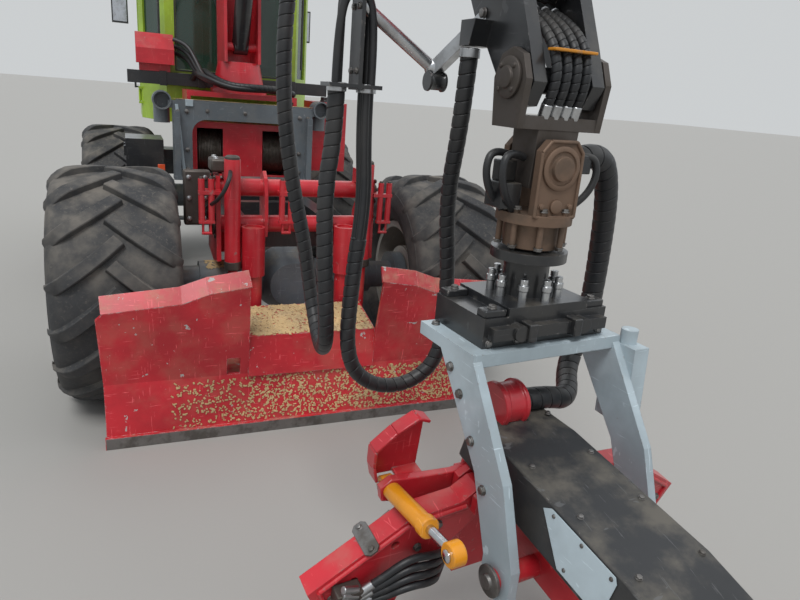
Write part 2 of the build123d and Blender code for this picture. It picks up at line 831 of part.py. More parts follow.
# Log blade, resting on the ground
blade_half = 1070
blade_edge_y = -730
blade_bend_y = -702
blade_bend_z = 350
blade_plate = 20
wing_lean = 11
fold_lean = radians(38)
with BuildPart() as log_blade:
    slab(
        Plane.YZ,
        [
            (fore(blade_edge_y), 0),
            (fore(blade_edge_y + 20), 0),
            (fore(blade_bend_y + blade_plate), blade_bend_z),
            (fore(blade_bend_y), blade_bend_z),
        ],
        2 * blade_half,
    )
    for side in (-1, 1):
        wing_plane = Plane(
            origin=(0, fore(blade_bend_y + blade_plate / 2), blade_bend_z - 10),
            x_dir=(1, 0, 0),
            z_dir=(0, -cos(radians(wing_lean)), -sin(radians(wing_lean))),
        )
        wing = [
            (side * blade_half, 0),
            (side * (blade_half + 14), 380),
            (side * (blade_half - 20), 415),
            (side * 690, 450),
            (side * 555, 500),
            (side * 360, 531),
            (side * 350, 0),
        ]
        slab(wing_plane, wing, blade_plate)
        # The wing's top edge, folded forwards
        for (near_x, near_v), (far_x, far_v) in zip(wing[2:5], wing[3:6]):
            near = wing_plane.from_local_coords((near_x, near_v, 0))
            far = wing_plane.from_local_coords((far_x, far_v, 0))
            fold = Plane(origin=near, x_dir=far - near, z_dir=(far - near).cross(Vector(0, sin(fold_lean), cos(fold_lean))))
            slab(fold, [(-8, -6), ((far - near).length + 8, -6), ((far - near).length + 8, 88), (-8, 88)], 14)
    slab(
        Plane.YZ,
        [(fore(-748), 0), (fore(-716), 0), (fore(-722), 62), (fore(-742), 62)],
        2 * blade_half + 12,
    )
    block((-468, -400), (fore(-760), fore(-660)), (345, 444), Mode.SUBTRACT)
    # Face plate and sloping shelf between the wings
    slab(Plane.YZ, [(fore(-722), 330), (fore(-700), 330), (fore(-694), 548), (fore(-716), 560)], 712)
    slab(Plane.YZ, [(fore(-716), 560), (fore(-700), 538), (fore(-415), 603), (fore(-415), 625)], 712)
    for x in (-330, 330):
        slab(Plane.YZ.offset(x), [(fore(-705), 320), (fore(-705), 545), (fore(-420), 608), (fore(-420), 320)], 18)
    # Shelf behind the blade, back to the carriage and its guide posts
    block((-620, 620), (fore(blade_bend_y + 5), fore(-285)), (300, 325))
    block((-430, 430), (fore(-385), fore(-285)), (290, 380))
    for side in (-1, 1):
        rod((side * guide_x, fore(guide_y), 380), (side * guide_x, fore(guide_y), 1060), guide_radius)
        rod((side * cylinder_x, fore(guide_y), 370), (side * cylinder_x, fore(guide_y), 1000), blade_rod_radius)
save(log_blade, "log_blade")

# Crane column
pillar_wall = 25
pillar_inner = 125
with BuildPart() as pillar:
    with BuildSketch(Plane(origin=(0, fore(column_y), slew_ring_z + shaft_clearance))) as foot:
        Circle(215)
    extrude(foot.sketch, amount=215, taper=11)
    pillar_profile = [(-170, 1985), (170, 1985), (150, 2500), (40, 3240), (-140, 3240), (-190, 2500)]
    for side in (-1, 1):
        slab(crane_offset(side * (pillar_inner + pillar_wall / 2)), pillar_profile, pillar_wall)
    slab(crane, [(-185, 1985), (-150, 1985), (-160, 2500), (-140, 2750), (-165, 2750), (-188, 2500)], 2 * pillar_inner)
    rod(
        (0, fore(column_y), slew_ring_z),
        (0, fore(column_y), slew_ring_z + 90),
        spigot_radius + shaft_clearance,
        Mode.SUBTRACT,
    )
    crane_pin(main_pivot, 165, boom_pin_radius)
    lift_foot = (60, 2110)
    crane_pin(lift_foot, 130, 34)
save(pillar, "pillar")

main_axis = Beam(main_pivot, knuckle)
lift_eye = main_axis.at(640, -185)
lift_axis = Beam(lift_foot, lift_eye)


def cylinder_barrel(axis, length, radius, half_eye, pin_radius):
    """Barrel with its eye round a pin, open at the rod's end."""
    crane_pin(axis.start, half_eye, pin_radius + 24)
    rod(crane_at(*axis.at(0)), crane_at(*axis.at(length)), radius)
    crane_pin(axis.start, radius + half_eye, pin_radius + pin_clearance, Mode.SUBTRACT)
    rod(crane_at(*axis.at(pin_radius + 60)), crane_at(*axis.at(length + 1)), radius - 14, Mode.SUBTRACT)


def cylinder_rod(axis, tail, rod_radius, bore_radius, half_eye, pin_radius):
    """Polished rod with its piston and its eye, with the cross pin in the eye."""
    rod(crane_at(*axis.at(tail)), crane_at(*axis.at(axis.length)), rod_radius)
    rod(crane_at(*axis.at(tail)), crane_at(*axis.at(tail + 60)), bore_radius - pin_clearance)
    crane_pin(axis.at(axis.length), half_eye, pin_radius + 22)


with BuildPart() as lift_barrel:
    cylinder_barrel(lift_axis, 1020, 70, 55, 34)
save(lift_barrel, "lift_barrel")
with BuildPart() as lift_rod:
    cylinder_rod(lift_axis, 760, 38, 56, 38, 30)
save(lift_rod, "lift_rod")

boom_half = 110
with BuildPart() as main_boom:
    slab(
        crane,
        main_axis.path(
            (-95, -60),
            (40, -120),
            (760, -105),
            (main_axis.length - 260, -115),
            (main_axis.length - 80, -75),
            (main_axis.length + 70, -60),
            (main_axis.length + 85, 40),
            (main_axis.length - 20, 85),
            (main_axis.length - 500, 150),
            (500, 150),
            (-60, 95),
        ),
        2 * boom_half,
    )
    crane_pin(main_pivot, boom_half + 5, boom_pin_radius + pin_clearance, Mode.SUBTRACT)
    for side in (-1, 1):
        ear = main_axis.path((520, -100), (760, -100), (700, -240), (580, -240))
        slab(crane_offset(side * 62), ear, 28)
    jib_foot = main_axis.at(1150, 260)
    for side in (-1, 1):
        ear = main_axis.path((1020, 145), (1280, 145), (1200, 300), (1100, 300))
        slab(crane_offset(side * 84), ear, 26)
    crane_pin(jib_foot, 96, 32)
    crane_pin(knuckle, boom_half + 45, boom_pin_radius)
save(main_boom, "main_boom")

jib_axis = Beam(knuckle, tip)
jib_eye = jib_axis.at(-330, 130)
jib_cylinder_axis = Beam(jib_foot, jib_eye)
jib_end = 3380
jib_depth = 150
jib_half = 150
jib_wall = 25
jib_cheek = boom_half + 10
slide_clearance = 6
pad_thickness = slide_clearance - shaft_clearance
hose_clamp_s = 1954
with BuildPart() as jib:
    slab(
        crane,
        jib_axis.path(
            (300, -jib_depth), (jib_end - 130, -jib_depth), (jib_end, -60), (jib_end, jib_depth), (300, jib_depth)
        ),
        2 * jib_half,
    )
    inside = jib_depth - jib_wall
    slab(
        crane,
        jib_axis.path((330, -inside), (jib_end + 10, -inside), (jib_end + 10, inside), (330, inside)),
        2 * (jib_half - jib_wall),
        Mode.SUBTRACT,
    )
    for side in (-1, 1):
        cheek = jib_axis.path((-400, 60), (-400, 190), (-200, 220), (360, 150), (360, -150), (-60, -85), (-90, 0))
        slab(crane_offset(side * (jib_cheek + 15)), cheek, 30)
    crane_pin(knuckle, 200, boom_pin_radius + pin_clearance, Mode.SUBTRACT)
    # Wear pads at the mouth, and the clamp lug where the hoses leave the left side
    for start, end in ((jib_end - 260, jib_end - 110),):
        for sign in (-1, 1):
            slab(
                crane,
                jib_axis.path(
                    (start, sign * inside), (end, sign * inside), (end, sign * (inside - pad_thickness)), (start, sign * (inside - pad_thickness))
                ),
                160,
            )
    slab(
        crane_offset(jib_half + 32),
        jib_axis.path((hose_clamp_s - 14, -34), (hose_clamp_s - 0.3, -34), (hose_clamp_s - 0.3, 34), (hose_clamp_s - 14, 34)),
        70,
    )
save(jib, "jib")

with BuildPart() as jib_barrel:
    cylinder_barrel(jib_cylinder_axis, 900, 60, 64, 32)
save(jib_barrel, "jib_barrel")
with BuildPart() as jib_rod:
    cylinder_rod(jib_cylinder_axis, 640, 34, 46, 80, 28)
save(jib_rod, "jib_rod")

inner_depth = jib_depth - jib_wall - slide_clearance
inner_half = jib_half - jib_wall - slide_clearance
fork_inner = 78
fork_plate = 42
with BuildPart() as extension:
    slab(
        crane,
        jib_axis.path((900, -inner_depth), (jib_end + 50, -inner_depth), (jib_end + 50, inner_depth), (900, inner_depth)),
        2 * inner_half,
    )
    for sign in (-1, 1):
        slab(
            crane,
            jib_axis.path(
                (900, sign * inner_depth),
                (1040, sign * inner_depth),
                (1040, sign * (inner_depth + pad_thickness)),
                (900, sign * (inner_depth + pad_thickness)),
            ),
            160,
        )
    fork_profile = jib_axis.path(
        (jib_end + 8, -112),
        (jib_axis.length - 40, -82),
        (jib_axis.length + 50, -62),
        (jib_axis.length + 84, 0),
        (jib_axis.length + 50, 62),
        (jib_axis.length - 60, 82),
        (jib_end + 8, 118),
    )
    for side in (-1, 1):
        slab(crane_offset(side * (fork_inner + fork_plate / 2)), fork_profile, fork_plate)
    crane_pin(tip, 138, 36)
    # Hose guide: a bent tube on the fork's left plate, with its clamp plate
    guide_path = [(jib_axis.at(3430, -70), 100), ((3960, 1925), 190), ((3950, 2090), 446)]
    for (near, near_w), (far, far_w) in zip(guide_path, guide_path[1:]):
        rod(crane_at(*near, near_w), crane_at(*far, far_w), 17)
    slab(crane_offset(446), [(3895, 1845), (3980, 1845), (3980, 2110), (3895, 2110)], 12)
    slab(crane_offset(458), [(3895, 1850), (3980, 1850), (3980, 1862), (3895, 1862)], 170)
    slab(crane_offset(140), [(4085, 1994), (4140, 1994), (4165, 2065), (4085, 2065)], 80)
save(extension, "extension")

# Link between the boom's tip and the rotator, which swings both ways
link_inner = fork_inner + fork_plate + 5
with BuildPart() as tip_link:
    for side in (-1, 1):
        slab(
            crane_offset(side * (link_inner + 10)),
            [
                (tip[0] - 62, tip[1] - 130),
                (tip[0] - 78, tip[1]),
                (tip[0] - 50, tip[1] + 62),
                (tip[0], tip[1] + 80),
                (tip[0] + 50, tip[1] + 62),
                (tip[0] + 78, tip[1]),
                (tip[0] + 62, tip[1] - 130),
            ],
            20,
        )
    slab(
        crane,
        [
            (tip[0] - 60, tip[1] - 95),
            (tip[0] - 60, tip[1] - 130),
            (tip[0] - 50, link_pivot_z - 62),
            (tip[0] + 50, link_pivot_z - 62),
            (tip[0] + 60, tip[1] - 130),
            (tip[0] + 60, tip[1] - 95),
        ],
        140,
    )
    block_low = tip[1] - 130
    slab(
        crane,
        [(tip[0] - 62, block_low), (tip[0] - 62, block_low + 36), (tip[0] + 62, block_low + 36), (tip[0] + 62, block_low)],
        2 * (link_inner + 20),
    )
    crane_pin(tip, 150, 36 + pin_clearance, Mode.SUBTRACT)
    link_foot = crane_at(tip[0] - 105, link_pivot_z)
    link_face = crane_at(tip[0] + 105, link_pivot_z)
    rod(link_foot, link_face, 34)
save(tip_link, "tip_link")

with BuildPart() as rotator:
    for near, far in ((-92, -66), (66, 92)):
        # its x runs to the left and its y down
        plate_plane = Plane(
            origin=crane_at(tip[0] + (near + far) / 2, link_pivot_z), x_dir=left_direction, z_dir=reach_direction
        )
        rotator_plate = [(-72, -45), (-45, -76), (45, -76), (72, -45), (72, 140), (-72, 140)]
        slab(
            plate_plane,
            rotator_plate,
            far - near,
        )
    rod(crane_at(tip[0], 1515), crane_at(tip[0], 1545), 114)
    rod(crane_at(tip[0], 1440), crane_at(tip[0], 1520), 84)
    for number in range(8):
        turn = radians(45 * number + 22.5)
        r, w = tip[0] + 99 * cos(turn), 99 * sin(turn)
        rod(crane_at(r, 1452, w), crane_at(r, 1556, w), 9)
    rod(crane_at(tip[0] - 100, link_pivot_z), crane_at(tip[0] + 100, link_pivot_z), 34 + pin_clearance, Mode.SUBTRACT)
    rod(crane_at(tip[0], 1439), crane_at(tip[0], 1475), 40 + shaft_clearance, Mode.SUBTRACT)
save(rotator, "rotator")

tool_direction = (sin(radians(rest_slew + head_turn)), -cos(radians(rest_slew + head_turn)), 0)
tool_left = (-cos(radians(rest_slew + head_turn)), -sin(radians(rest_slew + head_turn)), 0)
tool = Plane(origin=crane_at(tip[0], 0), x_dir=tool_direction, z_dir=tool_left)


def tool_at(r, z, w=0):
    """A point of the head's group: reach from the rotator's axis, height and side offset."""
    return tool.from_local_coords((r, z, w))


def tool_offset(w):
    """The head's upright plane, moved sideways."""
    return Plane(origin=tool_at(0, 0, w), x_dir=tool_direction, z_dir=tool_left)


def tool_pin(centre, half_width, radius, mode=Mode.ADD):
    """A cross pin of the head's group."""
    rod(tool_at(*centre, -half_width), tool_at(*centre, half_width), radius, mode)


coupler_low = 1175
coupler_high = 1290
with BuildPart() as rotor:
    rod(tool_at(0, 1402), tool_at(0, 1432), 116)
    rod(tool_at(0, 1430), tool_at(0, 1468), 40)
    rod(tool_at(0, coupler_high - 5), tool_at(0, 1410), 70)
    slab(tool, [(-130, coupler_low), (130, coupler_low), (130, coupler_high), (-130, coupler_high)], 460)
    slab(tool, [(-158, 1204), (158, 1204), (158, 1240), (-158, 1240)], 424)
    for side in (-1, 1):
        slab(
            tool_offset(side * 190),
            [(-131, 1264), (131, 1264), (131, coupler_high + 1), (-131, coupler_high + 1)],
            84,
            Mode.SUBTRACT,
        )
        rod(tool_at(-166, 1222, side * 120), tool_at(166, 1222, side * 120), 24)
save(rotor, "rotor")

# Hanger: a cross plate with a leg down each side to the head's tilt pins
hanger_plate = 30
plate_low = coupler_low - 40
tilt_pin_radius = 30
with BuildPart() as hanger:
    slab(tool, [(-130, plate_low), (165, plate_low), (165, coupler_low), (-130, coupler_low)], 2 * hanger_half)
    leg_profile = [
        (-20, coupler_low - 20),
        (165, coupler_low - 20),
        (head_pivot[0] - 20, 880),
        (head_pivot[0] + 62, 660),
        (head_pivot[0] + 62, 570),
        (head_pivot[0] + 30, 538),
        (head_pivot[0] - 30, 538),
        (head_pivot[0] - 62, 570),
        (head_pivot[0] - 62, 640),
        (head_pivot[0] - 150, 850),
    ]
    for side in (-1, 1):
        slab(tool_offset(side * (hanger_half - hanger_plate / 2)), leg_profile, hanger_plate)
    slab(tool_offset(-hanger_half - 30), [(120, 890), (250, 885), (232, 1150), (110, 1150)], 62)
    rod(tool_at(172, 1145, -hanger_half - 30), tool_at(172, 1196, -hanger_half - 30), 27)
    tool_pin(head_pivot, hanger_half + 1, tilt_pin_radius + pin_clearance, Mode.SUBTRACT)
save(hanger, "hanger")

# Harvester head: s runs along it to its rear end, t up from its tilt pins, w to its left
droop = radians(head_droop)
head_axis = Beam(head_pivot, (head_pivot[0] + cos(droop), head_pivot[1] - sin(droop)))
head_front = -300
head_rear = 700
spine_half = 140
spine_low = -40
spine_high = 130
arm_s = -250
arm_pivot = (190, 80)
arm_pin_radius = 24
arm_half = 35
knife_s = 600
knife_pivot = (190, -30)
saw_s = head_front - 55
saw_pivot = (115, -20)
head_along = (tool_at(*head_axis.at(1000)) - tool_at(*head_axis.at(0))).normalized()


def head_at(s, t, w=0):
    """A point of the head."""
    return tool_at(*head_axis.at(s, t), w)


def across(s, points, thickness, mode=Mode.ADD):
    """A plate that stands across the head, from points of side offset w and height t."""
    plane = Plane(origin=head_at(s, 0), x_dir=tool_left, z_dir=head_along)
    up = -1 if plane.y_dir.Z < 0 else 1
    slab(plane, [(w, up * t) for w, t in points], thickness, mode)


def along(start, end, pivot, radius, mode=Mode.ADD, side=1):
    """A round pin along the head, between two places on it."""
    rod(head_at(start, pivot[1], side * pivot[0]), head_at(end, pivot[1], side * pivot[0]), radius, mode)


with BuildPart() as head_frame:
    slab(
        tool,
        head_axis.path((head_front, spine_low), (head_front, spine_high), (head_rear, spine_high), (head_rear, spine_low)),
        2 * spine_half,
    )
    tool_pin(head_pivot, hanger_half + 14, tilt_pin_radius)
    arm_lug = [(-238, 50), (-238, 105), (-200, spine_high - 2), (200, spine_high - 2), (238, 105), (238, 50), (150, 0), (-150, 0)]
    knife_lug = [(-232, -50), (-232, -10), (-150, 40), (150, 40), (232, -10), (232, -50), (150, -80), (-150, -80)]
    for lug, places in ((arm_lug, (arm_s - 54, arm_s + 54)), (knife_lug, (knife_s - 62, knife_s + 62))):
        for s in places:
            across(s, lug, 26)
    for side in (-1, 1):
        along(arm_s - 64, arm_s + 64, arm_pivot, arm_pin_radius, side=side)
        along(knife_s - 72, knife_s + 72, knife_pivot, arm_pin_radius, side=side)
    # Saw box across the front end, open below for the bar
    across(saw_s, [(-170, 45), (170, 45), (170, -330), (-170, -330)], 110)
    across(saw_s, [(-150, 20), (150, 20), (150, -331), (-150, -331)], 50, Mode.SUBTRACT)
    along(saw_s - 26, saw_s + 26, saw_pivot, 20)
    # Tilt cylinder lying beside the cover on the left
    rod(head_at(-240, 190, 165), head_at(-60, 180, 165), 27)
    rod(head_at(-60, 180, 165), head_at(60, 173, 165), 14)
    across(-225, [(120, 110), (150, 110), (190, 185), (150, 195), (120, 150)], 30)
save(head_frame, "head_frame")

cover_half = 122
with BuildPart() as head_cover:
    slab(
        tool,
        head_axis.path((-170, spine_high), (-130, 285), (470, 285), (700, 235), (700, spine_high)),
        2 * cover_half,
    )
    across(
        265,
        [(-cover_half, 120), (-cover_half, 236), (-78, 286), (78, 286), (cover_half, 236), (cover_half, 120)],
        900,
        Mode.INTERSECT,
    )
save(head_cover, "head_cover")

# Roller arms, open, each with its feed roller
arm_profile = [
    (160, 60),
    (178, 118),
    (215, 118),
    (270, 80),
    (440, 66),
    (735, -120),
    (655, -290),
    (600, -410),
    (505, -425),
    (440, -260),
    (400, -130),
    (290, -80),
    (178, 28),
]
arm_holes = [(596, -117), (476, -19)]
roller_foot = (520, -330)
roller_radius = 105
roller_length = 337
axle_radius = 26
for name, side in (("left", 1), ("right", -1)):
    with BuildPart() as arm:
        across(arm_s, [(side * w, t) for w, t in arm_profile], 2 * arm_half)
        along(arm_s - arm_half - 1, arm_s + arm_half + 1, arm_pivot, arm_pin_radius + pin_clearance, Mode.SUBTRACT, side)
        for hole in arm_holes:
            along(arm_s - arm_half - 1, arm_s + arm_half + 1, hole, 13, Mode.SUBTRACT, side)
        along(arm_s, arm_s + 210, roller_foot, axle_radius, side=side)
    save(arm, f"roller_arm_{name}")
    with BuildPart() as roller:
        star = []
        for number in range(24):
            r = roller_radius - (17 if number % 2 else 0)
            turn = radians(15 * number)
            star.append((side * roller_foot[0] + r * cos(turn), roller_foot[1] + r * sin(turn)))
        across(arm_s + arm_half + 8 + roller_length / 2, star, roller_length)
        along(arm_s, arm_s + 215, roller_foot, axle_radius + shaft_clearance, Mode.SUBTRACT, side)
    save(roller, f"feed_roller_{name}")

knife_profile = [
    (160, -50),
    (170, 0),
    (210, 0),
    (350, -110),
    (400, -250),
    (350, -390),
    (325, -390),
    (350, -250),
    (300, -150),
    (190, -70),
]
knife_offset = 24
for name, side in (("left", 1), ("right", -1)):
    with BuildPart() as knife:
        across(knife_s + side * knife_offset, [(side * w, t) for w, t in knife_profile], 30)
        along(knife_s - 45, knife_s + 45, knife_pivot, arm_pin_radius + pin_clearance, Mode.SUBTRACT, side)
    save(knife, f"knife_{name}")

with BuildPart() as saw_bar:
    across(saw_s, [(90, 0), (115, 12), (140, 0), (140, -290), (115, -310), (90, -290)], 12)
    along(saw_s - 7, saw_s + 7, saw_pivot, 20 + pin_clearance, Mode.SUBTRACT)
save(saw_bar, "saw_bar")

# Hose bundles between the boom's tip and the head, each as the centre line that it hangs along
bundle_radius = 27


def hose(path, radius):
    """A hose along hand-chosen points, each bend as an arc of the radius listed for it."""
    bends = []
    for before, here, after in zip(path, path[1:], path[2:]):
        near, far = Vector(*here) - Vector(*before), Vector(*after) - Vector(*here)
        turn = near.get_angle(far)
        bends.append(0.45 * min(near.length, far.length) / (sin(radians(turn / 2)) / cos(radians(turn / 2))))
        print("bend", round(turn, 1), "radius", round(bends[-1]), "in diameters", round(bends[-1] / radius / 2, 1))
    with BuildLine() as line:
        FilletPolyline(*path, radius=bends)
    with BuildSketch(Plane(origin=line.line @ 0, z_dir=line.line % 0)) as section:
        Circle(radius)
    sweep(section.sketch, path=line.line)


# Bundle that leaves the jib's left side, hangs down and comes back up to the hose guide
boom_loop = [
    (-11, fore(-1335), 3342),
    (-7, fore(-1426), 3210),
    (-110, fore(-1480), 2970),
    (-280, fore(-1540), 2600),
    (-375, fore(-1580), 2200),
    (-395, fore(-1600), 1860),
    (-362, fore(-1600), 1560),
    (-297, fore(-1600), 1280),
    (-262, fore(-1600), 1050),
    (-262, fore(-1710), 943),
    (-284, fore(-1864), 943),
    (-305, fore(-1974), 1050),
    (-324, fore(-1974), 1290),
    (-330, fore(-1962), 1540),
    (-305, fore(-1955), 1710),
    (-305, fore(-1955), 1849.7),
]
# Bundle from the guide down past the rotator and up again to the link
link_loop = [
    (-210, fore(-1955), 1849.7),
    (-210, fore(-1955), 1720),
    (-196, fore(-1965), 1500),
    (-225, fore(-1965), 1230),
    (-232, fore(-1965), 942),
    (-122, fore(-1965), 833),
    (32, fore(-1965), 833),
    (142, fore(-1965), 942),
    (136, fore(-1965), 1240),
    (88, fore(-1985), 1520),
    (58, fore(-2095), 1780),
    (53, fore(-2112), 1989.7),
]
with BuildPart() as hose_boom:
    hose(boom_loop, bundle_radius)
save(hose_boom, "hose_boom")
with BuildPart() as hose_link:
    hose(link_loop, bundle_radius)
save(hose_link, "hose_link")
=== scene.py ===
"""Looks of the forestry tractor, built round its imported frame. Metres, +X to the right, +Y forwards, +Z up."""
import json
import random
from math import cos, pi, radians, sin

import bmesh
import bpy
from mathutils import Matrix, Vector


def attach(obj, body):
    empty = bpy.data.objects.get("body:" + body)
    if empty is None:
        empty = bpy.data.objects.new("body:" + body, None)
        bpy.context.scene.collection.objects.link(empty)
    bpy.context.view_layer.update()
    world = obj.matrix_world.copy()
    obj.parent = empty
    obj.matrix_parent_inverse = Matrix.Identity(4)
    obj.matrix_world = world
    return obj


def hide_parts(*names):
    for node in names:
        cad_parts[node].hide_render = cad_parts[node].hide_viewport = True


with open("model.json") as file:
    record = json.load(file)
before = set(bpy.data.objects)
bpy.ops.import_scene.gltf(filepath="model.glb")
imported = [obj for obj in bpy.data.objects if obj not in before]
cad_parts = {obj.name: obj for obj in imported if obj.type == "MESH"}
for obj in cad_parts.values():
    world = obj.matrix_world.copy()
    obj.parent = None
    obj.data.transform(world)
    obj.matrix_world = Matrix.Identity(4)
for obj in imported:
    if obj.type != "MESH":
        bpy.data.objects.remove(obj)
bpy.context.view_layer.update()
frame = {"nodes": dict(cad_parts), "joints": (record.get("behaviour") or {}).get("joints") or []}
random.seed(7)

UP = Vector((0, 0, 1))
RIGHT = Vector((1, 0, 0))
AHEAD = Vector((0, 1, 0))
joint_at = {joint["name"]: Vector(joint["pos_m"]) for joint in frame["joints"] if "pos_m" in joint}
joint_axis = {joint["name"]: Vector(joint["axis"]) for joint in frame["joints"]}
rear_axle = joint_at["wheel_rear_left_spin"].y


def fore(distance):
    """The Y of a point that lies this far in front of the rear axle."""
    return rear_axle + distance


# The crane's upright plane: out along the reach, up, and left of it
crane_left = joint_axis["main_boom_lift"]
crane_out = UP.cross(crane_left)
column_foot = Vector((joint_at["slew"].x, joint_at["slew"].y, 0))
tool_left = joint_axis["head_tilt"]
tool_out = UP.cross(tool_left)
tool_foot = Vector((joint_at["rotator_turn"].x, joint_at["rotator_turn"].y, 0))
head_pivot = joint_at["head_tilt"]
head_along = joint_axis["saw_swing"]
head_up = tool_left.cross(head_along)


def machine(x, y, z):
    """A point of the machine, with y from the rear axle."""
    return Vector((x, fore(y), z))


def crane(r, z, w=0.0):
    """A point of the crane: reach from the column, height and side offset to the left."""
    return column_foot + crane_out * r + UP * z + crane_left * w


def tool(r, z, w=0.0):
    """A point of the head's hanger: reach from the rotator's axis, height and side offset."""
    return tool_foot + tool_out * r + UP * z + tool_left * w


def head(s, t, w=0.0):
    """A point of the harvester head: along it, up from its tilt pins and to its left."""
    return head_pivot + head_along * s + head_up * t + tool_left * w


# Camera: the photograph's viewpoint, as three unit vectors
camera_place = Vector((-0.8907, -4.5628, 1.8442))
camera_right = Vector((0.92439, -0.37343, 0.07778))
camera_up = Vector((0.04616, 0.31194, 0.94898))
camera_ahead = Vector((0.37864, 0.87364, -0.30559))
camera_data = bpy.data.cameras.new("camera")
camera_data.lens = 28.8
camera_data.sensor_width = 36
camera_data.clip_start = 0.05
camera_data.clip_end = 400
camera = bpy.data.objects.new("camera", camera_data)
bpy.context.scene.collection.objects.link(camera)
turn = Matrix((camera_right, camera_up, -camera_ahead)).transposed()
camera.matrix_world = Matrix.Translation(camera_place) @ turn.to_4x4()
bpy.context.scene.camera = camera


# Materials
class Look:
    """A procedural material and short calls for the nodes that it is made of."""

    def __init__(self, name):
        self.material = bpy.data.materials.new(name)
        self.material.use_nodes = True
        self.nodes = self.material.node_tree.nodes
        self.links = self.material.node_tree.links
        self.shader = self.nodes["Principled BSDF"]
        self.place = self.nodes.new("ShaderNodeTexCoord").outputs["Object"]
        self.colour = None
        self.rough = None
        self.height = None

    def make(self, kind, inputs, output=0, **settings):
        """A node with its inputs set to values or linked, given by name or number."""
        node = self.nodes.new(kind)
        for key, value in settings.items():
            setattr(node, key, value)
        for key, value in inputs.items():
            if isinstance(value, bpy.types.NodeSocket):
                self.links.new(value, node.inputs[key])
            else:
                node.inputs[key].default_value = value
        return node.outputs[output]

    def noise(self, scale, detail=4.0, stretch=(1, 1, 1), rough=0.6):
        """Fractal noise, its pattern drawn out along the axes with a small stretch."""
        vector = self.make("ShaderNodeMapping", {"Vector": self.place, "Scale": stretch})
        return self.make("ShaderNodeTexNoise", {"Vector": vector, "Scale": scale, "Detail": detail, "Roughness": rough})

    def step(self, source, low, high):
        """0 below one value and 1 above another, smooth between them."""
        return self.make(
            "ShaderNodeMapRange", {0: source, 1: low, 2: high, 3: 0.0, 4: 1.0}, interpolation_type="SMOOTHSTEP"
        )

    def maths(self, operation, first, second):
        return self.make("ShaderNodeMath", {0: first, 1: second}, operation=operation, use_clamp=operation != "SUBTRACT")

    def mix(self, share, first, second):
        """Mixes two colours."""
        pair = [(*c, 1) if isinstance(c, tuple) else c for c in (first, second)]
        return self.make("ShaderNodeMix", {0: share, 6: pair[0], 7: pair[1]}, 2, data_type="RGBA")

    def blend_value(self, share, first, second):
        """Mixes two values."""
        return self.make("ShaderNodeMix", {0: share, 2: first, 3: second}, 0, data_type="FLOAT")

    def axis(self, index):
        """One coordinate of the point."""
        return self.make("ShaderNodeSeparateXYZ", {0: self.place}, index)

    def facing_up(self):
        """How far the surface faces up, -1 to 1."""
        normal = self.make("ShaderNodeNewGeometry", {}, 1)
        return self.make("ShaderNodeSeparateXYZ", {0: normal}, 2)

    def edges(self, radius):
        """1 along edges, 0 on flat stretches."""
        soft = self.make("ShaderNodeBevel", {"Radius": radius}, samples=4)
        true = self.make("ShaderNodeNewGeometry", {}, 3)
        same = self.make("ShaderNodeVectorMath", {0: soft, 1: true}, 1, operation="DOT_PRODUCT")
        return self.step(same, 0.995, 0.9)

    def finish(self, strength=0.3, distance=0.002, edge=0.003):
        """Joins colour, roughness and bump to the shader, with edges a little rounded."""
        if self.colour is not None:
            self.links.new(self.colour, self.shader.inputs["Base Color"])
        if self.rough is not None:
            self.links.new(self.rough, self.shader.inputs["Roughness"])
        normal = self.make("ShaderNodeBevel", {"Radius": edge}, samples=4)
        if self.height is not None:
            normal = self.make(
                "ShaderNodeBump", {"Strength": strength, "Distance": distance, "Height": self.height, "Normal": normal}
            )
        self.links.new(normal, self.shader.inputs["Normal"])
        return self.material


def paint(name, colour, rough=0.4, coat=0.2, chips=0.4, dust=0.4, bare=(0.24, 0.22, 0.2), dirt=(0.3, 0.26, 0.2), scratch=0.5):
    """Weathered paint: uneven colour, dust on what faces up, chipped edges and fine scratches."""
    look = Look(name)
    dark = tuple(c * 0.78 for c in colour)
    light = tuple(min(1, c * 1.12) for c in colour)
    look.colour = look.mix(look.step(look.noise(2.6, 5), 0.35, 0.68), dark, light)
    fine = look.noise(46, 6)
    up = look.step(look.facing_up(), 0.1, 0.95)
    patches = look.step(look.noise(7, 6), 0.42, 0.7)
    dusty = look.maths("MULTIPLY", look.maths("MULTIPLY", patches, look.blend_value(up, 0.22, 1.0)), dust)
    look.colour = look.mix(dusty, look.colour, dirt)
    lines = look.step(look.noise(9, 3, (14, 1, 1)), 0.655, 0.68)
    cross = look.step(look.noise(8, 3, (1, 1, 16)), 0.66, 0.685)
    marks = look.maths("MULTIPLY", look.maths("MAXIMUM", lines, cross), scratch)
    look.colour = look.mix(marks, look.colour, tuple(min(1, c * 1.3 + 0.1) for c in colour))
    worn = look.maths("MULTIPLY", look.edges(0.006), look.step(fine, 0.62 - 0.2 * chips, 0.66))
    flaked = look.step(look.noise(19, 7), 0.71 - 0.05 * chips, 0.72 - 0.05 * chips)
    chipped = look.maths("MAXIMUM", worn, look.maths("MULTIPLY", flaked, chips))
    look.colour = look.mix(chipped, look.colour, bare)
    look.rough = look.blend_value(look.maths("MAXIMUM", dusty, chipped), rough, 0.8)
    look.height = look.maths("ADD", look.maths("MULTIPLY", fine, 0.25), look.maths("MULTIPLY", chipped, -0.4))
    look.shader.inputs["Coat Weight"].default_value = coat
    look.shader.inputs["Coat Roughness"].default_value = 0.15
    return look.finish(0.25, 0.0015)


